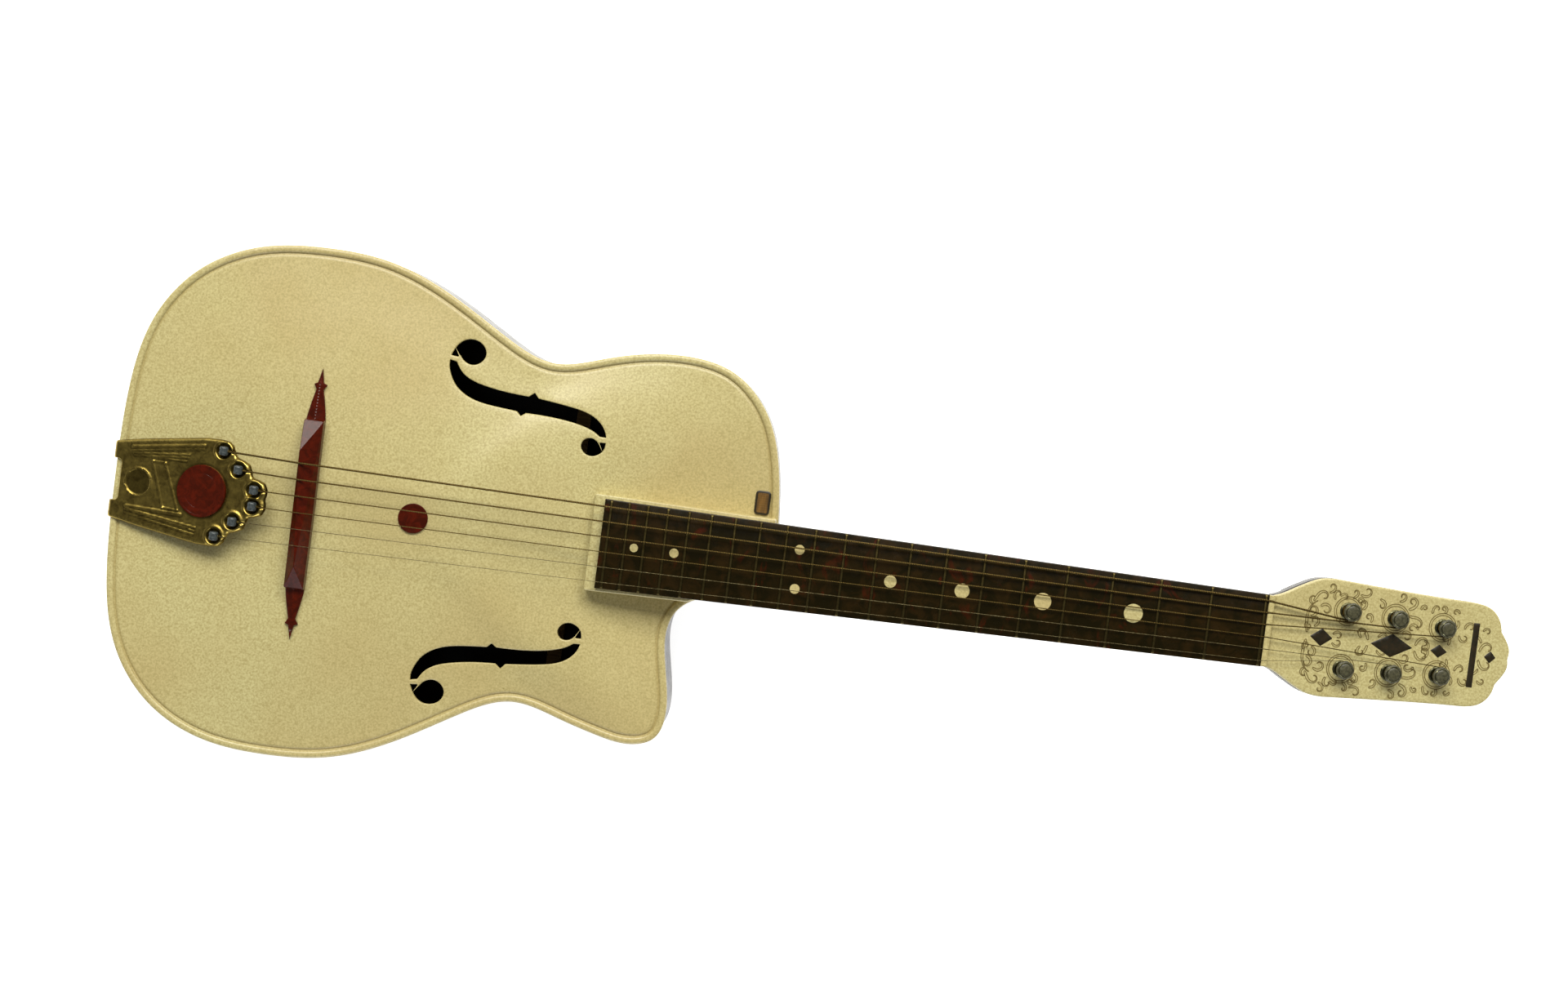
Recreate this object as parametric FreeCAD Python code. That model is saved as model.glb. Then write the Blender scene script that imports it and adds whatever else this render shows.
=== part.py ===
import FreeCAD, Part
import math
import os

# Six-string single-cutaway archtop guitar of moulded plastic, lying on its flat back.
# X runs along the strings from tail to head, Y across towards the bass side, Z up.
# The origin is the point of the back under the bridge saddle. Lengths are millimetres.

V = FreeCAD.Vector

# ---- driving dimensions -----------------------------------------------------
SCALE_LENGTH = 648.0
FRETS = 20
STRINGS = 6
RIM_Z = 80.0              # top of the rim, where the arch starts
TOP_RISE = 14.0           # arch height above the rim
TOP_THICKNESS = 3.0
WALL = 3.0
SIDE_INSET = 1.0          # the sides stand this far inside the soundboard's rim
RIM_WIDTH = 6.0           # flat rim round the arch
BACK_ROUNDING = 6.0
BODY_END = 317.0          # where the neck meets the body
ARCH_CENTRE_X = 60.0

BOARD_TOP = 103.0
BOARD_THICKNESS = 5.5
BOARD_START = 199.5
BOARD_END = 650.0
BOARD_HALF_AT_END = 24.4
BOARD_TAPER = 0.0131      # half width gained per mm towards the body
FRET_HEIGHT = 1.0
FRET_WIDTH = 2.2
TANG_WIDTH = 0.6
TANG_DEPTH = 1.8
DOT_DEPTH = 1.5

SADDLE_X = -3.0
SADDLE_TOP = 109.0
SADDLE_SLANT = -5.6       # the ridge's bass end lies this much nearer the tail
SADDLE_RIDGE_BASS = 36.0
SADDLE_RIDGE_TREBLE = -41.5
SADDLE_SPAN = 55.7        # outer strings at the saddle
NUT_SPAN = 40.9           # outer strings at the zero fret
STRING_DIAMETERS = (1.32, 1.06, 0.82, 0.62, 0.43, 0.33)

HEAD_X = 654.0            # the head's face starts here
HEAD_Z = 100.0
HEAD_TILT = 11.0
PLATE_THICKNESS = 3.0
HEAD_DEPTH = 14.0         # face to the underside of the head's walls
COVER_THICKNESS = 2.5
COVER_START = 8.0          # the rear cover starts this far behind the nut
POST_PLACES = ((52.4, 19.6), (86.4, 18.5), (120.7, 16.2))
POST_RADIUS = 3.5
POST_TOP = 10.5
CAP_RADIUS = 6.0
WINDING_RADIUS = 5.2
WINDING_START = 2.0
WINDING_END = 7.5
RUNNING_GAP = 0.05

GEAR_MODULE = 0.7
PINION_TEETH = 10
WHEEL_TEETH = 30
PRESSURE_ANGLE = math.radians(25.0)
ADDENDUM = 0.85
DEDENDUM = 1.15
BACKLASH = 0.16
GEAR_CENTRES = GEAR_MODULE * (PINION_TEETH + WHEEL_TEETH) / 2.0
KNOB_RADIUS = 9.0

TAIL_SLOPE = 13.0
TAIL_EDGE_X = -137.0
TAIL_EDGE_Z = 82.6
TAIL_METAL = 1.6
TAIL_HALF_AT_EDGE = 26.4
TAIL_HALF_AT_END = 34.7
BALL_PLACES = ((-61.0, 29.0), (-49.2, 17.6), (-36.5, 5.5))
LOBE_RADIUS = 8.4
MEDALLION_X = -73.2
MEDALLION_RADIUS = 17.9

DISC_X = 70.9
DISC_RADIUS = 10.15

# Half outline of the body, from the neck joint round to the tail.
BASS_SHOULDER = [(317.0, 24.0), (315.6, 40.0), (311.2, 70.0), (299.9, 100.5), (287.0, 116.3),
                 (272.0, 126.6), (246.0, 132.6), (217.0, 131.4)]
FLANK = [(185.0, 123.9), (151.0, 116.6), (117.0, 129.8), (80.4, 151.2), (33.0, 170.4), (-12.5, 174.6),
         (-56.9, 169.6), (-97.7, 148.7), (-124.6, 112.0), (-135.6, 62.0)]
TAIL_POINT = (-137.6, 0.0)
HORN = [(212.0, -131.6), (238.0, -134.4), (251.4, -128.4), (256.9, -113.0), (255.2, -91.6), (251.6, -73.0),
        (250.2, -56.0), (254.4, -41.8), (266.0, -31.6), (290.0, -27.0)]


def export(name, shape):
    """Write one node."""
    shape.exportStep("parts/" + name + ".step")


def box(x0, x1, y0, y1, z0, z1):
    return Part.makeBox(x1 - x0, y1 - y0, z1 - z0, V(x0, y0, z0))


def rod(x, y, z0, z1, radius):
    """Upright cylinder."""
    return Part.makeCylinder(radius, z1 - z0, V(x, y, z0))


def rod_between(start, end, radius):
    """Round rod from one point to another."""
    run = end - start
    return Part.makeCylinder(radius, run.Length, start, run)


def prism(points, z0, z1):
    """Upright prism over a polygon."""
    wire = Part.makePolygon([V(x, y, z0) for x, y in points + [points[0]]])
    return Part.Face(wire).extrude(V(0, 0, z1 - z0))


def fuse(shapes):
    """Join solids into one."""
    joined = shapes[0]
    for shape in shapes[1:]:
        joined = joined.fuse(shape)
    return joined.removeSplitter()


def cut(shape, tools):
    """Take several solids out of one."""
    for tool in tools:
        shape = shape.cut(tool)
    return shape


def group(shapes):
    """Separate solids in one node."""
    return Part.makeCompound(shapes)


def mirrored(shape):
    """The same shape on the other side of the centreline."""
    return shape.mirror(V(0, 0, 0), V(0, 1, 0))


def spline_edge(points, z):
    """Smooth edge through points at one height."""
    curve = Part.BSplineCurve()
    curve.interpolate(Points=[V(x, y, z) for x, y in points])
    return curve.toShape()


def plane_spline(points):
    curve = Part.BSplineCurve()
    curve.interpolate(Points=[V(x, y, 0) for x, y in points])
    return curve


# ---- body -------------------------------------------------------------------
OUTLINE_POINTS = BASS_SHOULDER + FLANK + [TAIL_POINT] + [(x, -y) for x, y in reversed(FLANK)] + HORN
OUTLINE = plane_spline(OUTLINE_POINTS)
OUTLINE_SAMPLES = 96


def outline_wire(inset, z, scale=1.0, end_inset=None):
    """The body's outline moved inwards, then scaled about the arch's centre."""
    end_inset = inset if end_inset is None else end_inset
    points = []
    for i in range(OUTLINE_SAMPLES + 1):
        t = OUTLINE.FirstParameter + (OUTLINE.LastParameter - OUTLINE.FirstParameter) * i / OUTLINE_SAMPLES
        place = OUTLINE.value(t)
        tangent = OUTLINE.tangent(t)[0]
        points.append((place.x - tangent.y * inset, place.y + tangent.x * inset))
    corner_y = points[-1][1]
    end_x = BODY_END - end_inset
    points[0] = (end_x, points[0][1])
    points = [(min(x, end_x), y) for x, y in points]
    placed = [(ARCH_CENTRE_X + (x - ARCH_CENTRE_X) * scale, y * scale) for x, y in points]
    corner = (ARCH_CENTRE_X + (end_x - ARCH_CENTRE_X) * scale, corner_y * scale)
    first = V(placed[0][0], placed[0][1], z)
    last = V(placed[-1][0], placed[-1][1], z)
    turn = V(corner[0], corner[1], z)
    edges = [spline_edge(placed, z), Part.makeLine(last, turn), Part.makeLine(turn, first)]
    return Part.Wire(edges)


def outline_prism(inset, z0, z1, end_inset=None):
    wire = outline_wire(inset, z0, 1.0, end_inset)
    return Part.Face(wire).extrude(V(0, 0, z1 - z0))


def arch_height(u):
    """Height of the arch over the rim; u is 0 at the crown and 1 at the rim."""
    return TOP_RISE * (1.0 - u * u) ** 1.25


def arch_solid():
    """Solid between the rim's plane and the arched surface."""
    steps = (1.0, 0.97, 0.92, 0.84, 0.72, 0.58, 0.44, 0.3, 0.16, 0.05)
    wires = [outline_wire(RIM_WIDTH, RIM_Z + arch_height(u), u) for u in steps]
    return Part.makeLoft(wires, True, False)


def f_hole_cutters():
    """Bass-side f-hole in three openings: two round ends and the long stem between two thin bars."""
    z0 = RIM_Z - 10.0
    height = V(0, 0, 40.0)

    def opening(curves):
        edges = []
        for points in curves:
            if len(points) == 2:
                start = V(points[0][0], points[0][1], z0)
                end = V(points[1][0], points[1][1], z0)
                edges.append(Part.makeLine(start, end))
            else:
                edges.append(spline_edge(points, z0))
        return Part.Face(Part.Wire(edges)).extrude(height)

    large_end = opening([
        [(81.4, 113.1), (84.2, 119.4), (89.4, 124.4), (95.6, 125.4), (102.4, 122.0), (104.7, 115.9),
         (101.6, 110.3), (95.4, 108.3), (89.9, 110.8), (87.0, 114.3)],
        [(87.0, 114.3), (86.3, 112.6)],
        [(86.3, 112.6), (81.4, 113.1)]])
    stem = opening([
        [(81.1, 110.1), (81.1, 106.4), (82.9, 100.4), (86.8, 93.8), (92.9, 88.6), (101.0, 84.9),
         (113.9, 82.5), (130.6, 81.0)],
        [(130.6, 81.0), (133.6, 78.0)],
        [(133.6, 78.0), (137.0, 80.5)],
        [(137.0, 80.5), (150.0, 80.2), (164.9, 78.9), (177.7, 76.4), (184.8, 73.7), (189.0, 71.0)],
        [(189.0, 71.0), (193.5, 70.8)],
        [(193.5, 70.8), (192.2, 74.6), (188.2, 80.2), (180.4, 85.1), (168.0, 88.2), (144.2, 91.2)],
        [(144.2, 91.2), (141.0, 94.8)],
        [(141.0, 94.8), (137.3, 91.7)],
        [(137.3, 91.7), (124.0, 92.6), (108.5, 94.9), (97.6, 98.0), (90.2, 102.8), (85.8, 109.1)],
        [(85.8, 109.1), (81.1, 110.1)]])
    small_end = opening([
        [(193.6, 67.1), (192.9, 62.6), (189.4, 58.8), (184.2, 57.3), (179.2, 59.5), (177.2, 63.8),
         (179.0, 67.8), (183.1, 69.3), (187.1, 67.9), (189.3, 65.7)],
        [(189.3, 65.7), (189.8, 67.1)],
        [(189.8, 67.1), (193.6, 67.1)]])
    return [large_end, stem, small_end]


ARCH = arch_solid()
ARCH_UNDER = ARCH.translated(V(0, 0, -TOP_THICKNESS))


def soundboard():
    rim = outline_prism(0.0, RIM_Z - TOP_THICKNESS, RIM_Z)
    plate = rim.fuse(ARCH).cut(ARCH_UNDER)
    holes = f_hole_cutters()
    return cut(plate, holes + [mirrored(hole) for hole in holes])


def back_and_sides(bolt_tools, screw_tools):
    outer = outline_prism(SIDE_INSET, 0.0, RIM_Z - TOP_THICKNESS, 0.0)
    low_edges = [edge for edge in outer.Edges if edge.BoundBox.ZMax < 0.001]
    long_edge = max(low_edges, key=lambda edge: edge.Length)
    outer = outer.makeFillet(BACK_ROUNDING, [long_edge])
    inner = outline_prism(SIDE_INSET + WALL, WALL, RIM_Z, SIDE_INSET + WALL)
    return cut(outer, [inner] + bolt_tools + screw_tools)


INNER_END = BODY_END - SIDE_INSET - WALL
BLOCK_START = 286.0
TAIL_INNER = TAIL_POINT[0] + SIDE_INSET + WALL + 0.3


def neck_block(bolt_tools):
    block = box(BLOCK_START, INNER_END, -23.0, 27.0, WALL, RIM_Z - TOP_THICKNESS)
    inside = outline_prism(SIDE_INSET + WALL, WALL, RIM_Z - TOP_THICKNESS, SIDE_INSET + WALL)
    return cut(block.common(inside), bolt_tools)


def tail_block(screw_tools):
    return cut(box(TAIL_INNER, TAIL_INNER + 20.0, -30.0, 30.0, WALL, RIM_Z - TOP_THICKNESS), screw_tools)


def top_braces():
    """Two long bars under the arch, each shaped to the arch above it."""
    bars = []
    for y in (36.0, -43.0):
        lane = box(-95.0, 225.0, y, y + 7.0, RIM_Z - 14.0, RIM_Z + TOP_RISE)
        bars.append(lane.common(ARCH_UNDER).cut(ARCH_UNDER.translated(V(0, 0, -11.0))))
    return group(bars)


def back_braces():
    """Three cross bars on the back."""
    bars = []
    for x, half in ((-70.0, 130.0), (60.0, 135.0), (170.0, 100.0)):
        bars.append(box(x - 5.0, x + 5.0, -half, half, WALL, WALL + 8.0))
    return group(bars)


def fretboard_riser():
    """Platform that carries the end of the fretboard over the arch."""
    start = BOARD_START - 7.6
    lip = 2.6
    near = board_half(start) + lip
    far = board_half(BODY_END) + lip
    slab = prism([(start, -near), (BODY_END, -far), (BODY_END, far), (start, near)],
                 RIM_Z - 2.0, BOARD_TOP - BOARD_THICKNESS)
    slab = slab.common(outline_prism(1.2, RIM_Z - 2.0, BOARD_TOP, 0.0))
    upright = [edge for edge in slab.Edges
               if edge.BoundBox.XMax < start + 0.01 and edge.BoundBox.ZLength > 15.0]
    slab = slab.makeFillet(2.0, upright)
    return cut(slab, [outline_prism(0.0, RIM_Z - TOP_THICKNESS, RIM_Z), ARCH])


# ---- neck and fretboard -----------------------------------------------------
def board_half(x):
    return BOARD_HALF_AT_END + BOARD_TAPER * (BOARD_END - x)


def fret_x(number):
    return SCALE_LENGTH / 2.0 ** (number / 12.0)


def neck_section(x, half, depth):
    """Half-round section under the board."""
    top = BOARD_TOP - BOARD_THICKNESS
    left = V(x, -half, top)
    right = V(x, half, top)
    curve = Part.BSplineCurve()
    ring = [V(x, -half * math.cos(a), top - depth * math.sin(a) ** 0.8)
            for a in [math.pi * i / 12.0 for i in range(13)]]
    curve.interpolate(Points=ring)
    return Part.Wire([curve.toShape(), Part.makeLine(right, left)])


def head_outline():
    """Head's outline in its own plane: u along the neck, v across."""
    side = [(0.0, 24.2), (6.0, 26.4), (12.6, 30.0), (21.4, 34.8), (31.0, 38.9), (42.0, 40.1)]
    flank = [(42.0, 40.1), (95.0, 37.2), (125.0, 36.0), (143.0, 35.6)]
    shoulder = [(143.0, 35.6), (152.6, 33.6), (158.6, 29.4), (162.4, 23.0), (163.6, 18.0)]
    tip = [(163.6, 18.0), (168.0, 12.0), (170.8, 5.0), (170.2, 0.0)]
    return side, flank, shoulder, tip


def head_prism(w0, w1, start=0.0):
    """Head-shaped prism in the head's own frame; w is the height over its face."""
    solid = Part.Face(head_wire(w0)).extrude(V(0, 0, w1 - w0))
    if start > 0.0:
        solid = solid.cut(box(-5.0, start, -60.0, 60.0, w0 - 1.0, w1 + 1.0))
    return solid


def head_pocket():
    """Room for the gears, open at the front and at the rear."""
    side = [(12.0, 24.0), (27.0, 33.4), (95.0, 32.6), (141.0, 31.0), (152.0, 26.0), (158.0, 13.0)]
    ring = side + [(u, -v) for u, v in reversed(side)]
    pocket = prism(ring, -HEAD_DEPTH - 1.0, 1.0)
    return pocket.makeFillet(3.0, [edge for edge in pocket.Edges if edge.BoundBox.ZLength > 5.0])


def head_wire(w):
    edges = []
    halves = head_outline()
    for points in halves:
        edges.append(spline_edge(points, w))
    for points in reversed(halves):
        edges.append(spline_edge([(u, -v) for u, v in reversed(points)], w))
    edges.append(Part.makeLine(V(0, -halves[0][0][1], w), V(0, halves[0][0][1], w)))
    return Part.Wire(edges)


HEAD_PLACEMENT = FreeCAD.Placement(V(HEAD_X, 0, HEAD_Z), FreeCAD.Rotation(V(0, 1, 0), HEAD_TILT))


def on_head(shape):
    """Carry a shape from the head's own frame into the guitar's."""
    placed = shape.copy()
    placed.Placement = HEAD_PLACEMENT.multiply(placed.Placement)
    return placed


def head_point(u, v, w):
    return HEAD_PLACEMENT.multVec(V(u, v, w))


def neck_depth(x):
    """Depth under the board: a slow taper to the nut, and the heel's flare at the body."""
    return 15.6 + 0.019 * (BOARD_END - x) + 62.0 * math.exp(-((x - BODY_END) / 17.0) ** 1.15)


def neck(bar, bolt_tools):
    count = 30
    end = HEAD_X + 8.0
    places = [BODY_END + (end - BODY_END) * i / count for i in range(count + 1)]
    wires = [neck_section(x, board_half(x) - 0.5, neck_depth(x)) for x in places]
    shaft = Part.makeLoft(wires, True, False)
    face_cut = on_head(box(-20.0, 60.0, -60.0, 60.0, -PLATE_THICKNESS, 30.0))
    face_cut = face_cut.cut(box(600.0, HEAD_X, -60.0, 60.0, 0.0, 200.0))
    cover_cut = on_head(box(COVER_START, 60.0, -60.0, 60.0, -60.0, -HEAD_DEPTH))
    head = head_prism(-HEAD_DEPTH, -PLATE_THICKNESS).cut(head_pocket())
    whole = fuse([shaft.cut(face_cut).cut(cover_cut), on_head(head)])
    return cut(whole, [bar] + bolt_tools)


def neck_bar():
    """Steel bar laid in the neck under the fretboard."""
    top = BOARD_TOP - BOARD_THICKNESS
    return box(335.0, 640.0, -4.0, 4.0, top - 9.0, top)


BOLT_HEIGHTS = (28.0, 56.0)


def neck_bolts():
    """Two hexagon bolts through the neck block into the heel."""
    bolts = []
    for z in BOLT_HEIGHTS:
        shank = rod_between(V(BLOCK_START, 0, z), V(BODY_END + (20.0 if z > 40.0 else 6.0), 0, z), 3.0)
        corners = [V(BLOCK_START - 4.0, 5.8 * math.cos(math.radians(60 * i)),
                     z + 5.8 * math.sin(math.radians(60 * i))) for i in range(7)]
        head = Part.Face(Part.makePolygon(corners)).extrude(V(4.0, 0, 0))
        bolts.append(head.fuse(shank).removeSplitter())
    return bolts


def fret_tools():
    """Crown and tang of every fret, zero fret included."""
    frets = []
    radius = (FRET_WIDTH ** 2 / 4.0 + FRET_HEIGHT ** 2) / (2.0 * FRET_HEIGHT)
    for number in range(FRETS + 1):
        x = fret_x(number)
        half = board_half(x) - 0.4
        crown_start = V(x, -half, BOARD_TOP + FRET_HEIGHT - radius)
        crown = Part.makeCylinder(radius, 2 * half, crown_start, V(0, 1, 0))
        crown = crown.common(box(x - 3.0, x + 3.0, -half, half, BOARD_TOP, BOARD_TOP + 3.0))
        slot = TANG_WIDTH / 2.0
        tang = box(x - slot, x + slot, -half, half, BOARD_TOP - TANG_DEPTH, BOARD_TOP)
        frets.append(crown.fuse(tang).removeSplitter())
    return frets


def dot_tools():
    """Round position dots midway between frets."""
    dots = []
    sizes = ((3, 12.9), (5, 11.7), (7, 10.2), (9, 8.5), (12, 6.8), (17, 6.4), (19, 5.8))
    for number, diameter in sizes:
        x = (fret_x(number) + fret_x(number - 1)) / 2.0
        for y in ((-13.3, 13.3) if number == 12 else (0.0,)):
            dots.append(rod(x, y, BOARD_TOP - DOT_DEPTH, BOARD_TOP, diameter / 2.0))
    return dots


def fretboard(tools):
    start, end = board_half(BOARD_START), board_half(BOARD_END)
    slab = prism([(BOARD_START, -start), (BOARD_END, -end), (BOARD_END, end), (BOARD_START, start)],
                 BOARD_TOP - BOARD_THICKNESS, BOARD_TOP)
    return cut(slab, tools)


# ---- strings, bridge and nut ------------------------------------------------
def string_y(index, span):
    """Place across for string 0 (bass) to 5 (treble)."""
    return span / 2.0 - span * index / (STRINGS - 1)


def ball_place(index):
    """Centre of a string's ball end on the tailpiece's surface."""
    side = 1.0 if index < 3 else -1.0
    x, y = BALL_PLACES[index if index < 3 else 5 - index]
    return V(x, side * y, tail_z(x) + 0.6)


def post_place(index):
    """Post of a string in the head's frame; the outer strings take the nearest posts."""
    side = 1.0 if index < 3 else -1.0
    u, v = POST_PLACES[index if index < 3 else 5 - index]
    return u, side * v


def string_route(index):
    radius = STRING_DIAMETERS[index] / 2.0
    side = 1.0 if index < 3 else -1.0
    u, v = post_place(index)
    ball = ball_place(index)
    across = string_y(index, SADDLE_SPAN)
    saddle = V(ridge_x(across), across, SADDLE_TOP + radius + 0.02)
    zero = V(fret_x(0), string_y(index, NUT_SPAN), BOARD_TOP + FRET_HEIGHT + radius + 0.02)
    wound = head_point(u - 1.0, v - side * (WINDING_RADIUS + radius + 0.3), 4.6)
    away = (saddle - ball).normalize()
    return [ball + away * 3.6, saddle, zero, wound]


def string(index):
    radius = STRING_DIAMETERS[index] / 2.0
    route = string_route(index)
    runs = [rod_between(a, b, radius) for a, b in zip(route, route[1:])]
    bends = [Part.makeSphere(radius, place) for place in route[1:-1]]
    return fuse(runs + bends)


def string_ball_ends():
    balls = []
    for index in range(STRINGS):
        place = ball_place(index)
        balls.append(Part.makeCylinder(3.1, 4.0, place - V(0, 2.0, 0), V(0, 1, 0)))
    return balls


def nut(string_tools):
    top = BOARD_TOP + 1.2
    half = board_half(BOARD_END) - 0.4
    bar = box(BOARD_END, HEAD_X - 0.1, -half, half, BOARD_TOP - BOARD_THICKNESS, top)
    edges = [edge for edge in bar.Edges if edge.BoundBox.ZMin > top - 0.01 and edge.BoundBox.YLength > 5.0]
    return cut(bar.makeFillet(0.8, edges), string_tools)


def bridge_base():
    """Long foot with pointed, barbed wings, fitted to the arch."""
    half = [(-7.0, 0.0), (-6.6, 57.0), (-4.4, 70.0), (-2.4, 78.5), (-4.6, 82.0), (-2.0, 83.0), (0.0, 92.8)]
    left = [(SADDLE_X + x, y) for x, y in half]
    right = [(SADDLE_X - x, y) for x, y in reversed(half[:-1])]
    upper = left + right
    lower = [(x, -y) for x, y in reversed(upper[1:-1])]
    plan = prism(upper + lower, RIM_Z, 102.0)
    profile = [(-94.0, 84.0), (-94.0, 90.8), (-62.0, 96.0), (-57.0, 100.0), (57.0, 100.0), (62.0, 96.0),
               (94.0, 90.8), (94.0, 84.0), (-94.0, 84.0)]
    side = Part.Face(Part.makePolygon([V(SADDLE_X - 8.0, y, z) for y, z in profile])).extrude(V(16.0, 0, 0))
    return plan.common(side).cut(ARCH)


def bridge_saddle():
    """Faceted roof that the strings cross; its ridge slants so that the bass strings are longer."""
    low, high = 100.0, SADDLE_TOP
    bass_tail = V(SADDLE_X - 6.6, 57.0, low)
    bass_head = V(SADDLE_X + 6.6, 57.0, low)
    treble_head = V(SADDLE_X + 6.6, -57.0, low)
    treble_tail = V(SADDLE_X - 6.6, -57.0, low)
    ridge_bass = V(SADDLE_X + SADDLE_SLANT, SADDLE_RIDGE_BASS, high)
    ridge_treble = V(SADDLE_X, SADDLE_RIDGE_TREBLE, high)
    facets = [(bass_tail, treble_tail, treble_head, bass_head), (bass_tail, bass_head, ridge_bass),
              (bass_head, treble_head, ridge_treble), (bass_head, ridge_treble, ridge_bass),
              (treble_head, treble_tail, ridge_treble), (treble_tail, bass_tail, ridge_bass),
              (treble_tail, ridge_bass, ridge_treble)]
    faces = [Part.Face(Part.makePolygon(list(facet) + [facet[0]])) for facet in facets]
    solid = Part.Solid(Part.Shell(faces))
    solid.fixTolerance(0.001)
    return solid if solid.Volume > 0 else solid.reversed()


def ridge_x(y):
    """Place of the saddle's ridge along the strings."""
    part = (SADDLE_RIDGE_BASS - y) / (SADDLE_RIDGE_BASS - SADDLE_RIDGE_TREBLE)
    return SADDLE_X + SADDLE_SLANT * (1.0 - part)


# ---- tailpiece --------------------------------------------------------------
def tail_z(x):
    """Height of the sloping plate's upper surface."""
    return TAIL_EDGE_Z + (x - TAIL_EDGE_X) * math.tan(math.radians(TAIL_SLOPE))


def sloped(plan, low, high):
    """Part of an upright solid between two planes parallel to the plate's surface."""
    x0, x1 = -150.0, -10.0
    corners = [V(x0, -60, tail_z(x0) + low), V(x1, -60, tail_z(x1) + low),
               V(x1, -60, tail_z(x1) + high), V(x0, -60, tail_z(x0) + high), V(x0, -60, tail_z(x0) + low)]
    return plan.common(Part.Face(Part.makePolygon(corners)).extrude(V(0, 120, 0)))


def tail_screw_places():
    return [(y, 50.0) for y in (-19.0, 19.0)]


def tailpiece_plate():
    edge, end = TAIL_HALF_AT_EDGE, TAIL_HALF_AT_END
    fan = [(x, y) for x, y in BALL_PLACES] + [(x, -y) for x, y in reversed(BALL_PLACES)]
    body = prism([(TAIL_EDGE_X, -edge), (-64.0, -end), (-64.0, end), (TAIL_EDGE_X, edge)], 60.0, 130.0)
    middle = prism([(-70.0, -30.0)] + list(reversed(fan)) + [(-70.0, 30.0)], 60.0, 130.0)
    window = box(-150.0, -133.4, -14.3, 14.3, 60.0, 90.0)
    lobes = [rod(x, y, 60.0, 130.0, LOBE_RADIUS) for x, y in fan]
    plate = sloped(fuse([body, middle]).cut(window), -TAIL_METAL, 0.0)
    plate = fuse([plate] + [sloped(lobe, -5.0, 0.8) for lobe in lobes])
    pockets = [sloped(rod(x, y, 60.0, 130.0, 4.7), -3.6, 5.0) for x, y in fan]
    exits = [sloped(box(x, x + 9.0, y - 0.9, y + 0.9, 60.0, 130.0), -1.6, 5.0) for x, y in fan]
    plate = cut(plate, pockets + exits)
    legs = [box(-139.6, -138.0, 14.3, edge, 40.0, TAIL_EDGE_Z - 0.2),
            box(-139.6, -138.0, -edge, -14.3, 40.0, TAIL_EDGE_Z - 0.2),
            box(-139.6, -138.0, -edge, edge, 40.0, 58.0),
            box(-139.6, TAIL_EDGE_X, 14.3, edge, TAIL_EDGE_Z - TAIL_METAL - 0.2, TAIL_EDGE_Z - 0.2),
            box(-139.6, TAIL_EDGE_X, -edge, -14.3, TAIL_EDGE_Z - TAIL_METAL - 0.2, TAIL_EDGE_Z - 0.2)]
    whole = fuse([plate] + legs)
    return cut(whole, tail_screw_tools())


def tail_screw_tools():
    return [rod_between(V(-141.0, y, z), V(-120.0, y, z), 1.9) for y, z in tail_screw_places()]


def tailpiece_screws():
    """Round-headed screws through the tailpiece's foot into the tail block."""
    screws = []
    for y, z in tail_screw_places():
        head = Part.makeCone(2.2, 3.6, 1.4, V(-141.0, y, z), V(1, 0, 0))
        shank = rod_between(V(-140.0, y, z), V(-120.0, y, z), 1.9)
        screws.append(head.fuse(shank).removeSplitter())
    return screws


def tailpiece_medallion():
    disc = rod(MEDALLION_X, 0.0, 60.0, 130.0, MEDALLION_RADIUS)
    return sloped(disc, 0.0, 2.0)


# ---- small pieces on the soundboard -----------------------------------------
def soundboard_disc():
    return rod(DISC_X, 0.0, RIM_Z, RIM_Z + TOP_RISE + 1.5, DISC_RADIUS).cut(ARCH)


def badge():
    slab = box(299.0, 309.4, 32.4, 48.8, RIM_Z - 1.0, RIM_Z + 1.6)
    slab = slab.makeFillet(2.4, [edge for edge in slab.Edges if edge.BoundBox.ZLength > 1.0])
    return cut(slab, [ARCH, outline_prism(0.0, RIM_Z - TOP_THICKNESS, RIM_Z)])


# ---- head and tuners --------------------------------------------------------
PLATE_BOSSES = ((28.0, 0.0), (69.4, 0.0), (103.6, 0.0), (150.0, 0.0))
PLATE_TOP = 0.0
WHEEL_LOW, WHEEL_HIGH = -10.0, -6.0
PINION_LOW, PINION_HIGH = -10.3, -5.7


def involute(angle):
    return math.tan(angle) - angle


def gear(teeth, low, high, first_angle):
    """Spur gear with involute flanks; the first tooth's middle is at first_angle degrees."""
    pitch = GEAR_MODULE * teeth / 2.0
    base = pitch * math.cos(PRESSURE_ANGLE)
    tip = pitch + ADDENDUM * GEAR_MODULE
    root = pitch - DEDENDUM * GEAR_MODULE
    half_pitch = math.pi / (2.0 * teeth) - BACKLASH / (4.0 * pitch)

    def half_angle(radius):
        lean = math.acos(min(1.0, base / radius))
        return half_pitch + involute(PRESSURE_ANGLE) - involute(lean)

    low_radius = max(base, root)
    flank = [low_radius + (tip - low_radius) * i / 4.0 for i in range(5)]
    points = []
    for number in range(teeth):
        middle = math.radians(first_angle) + 2.0 * math.pi * number / teeth
        rising = [(radius, middle - half_angle(radius)) for radius in flank]
        falling = [(radius, middle + half_angle(radius)) for radius in reversed(flank)]
        points.append((root, rising[0][1]))
        points.extend(rising if low_radius > root else rising[1:])
        points.extend(falling if low_radius > root else falling[:-1])
        points.append((root, falling[-1][1]))
    ring = [(radius * math.cos(angle), radius * math.sin(angle)) for radius, angle in points]
    return prism(ring, low, high)


def moved(shape, u, v):
    return shape.translated(V(u, v, 0))


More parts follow.
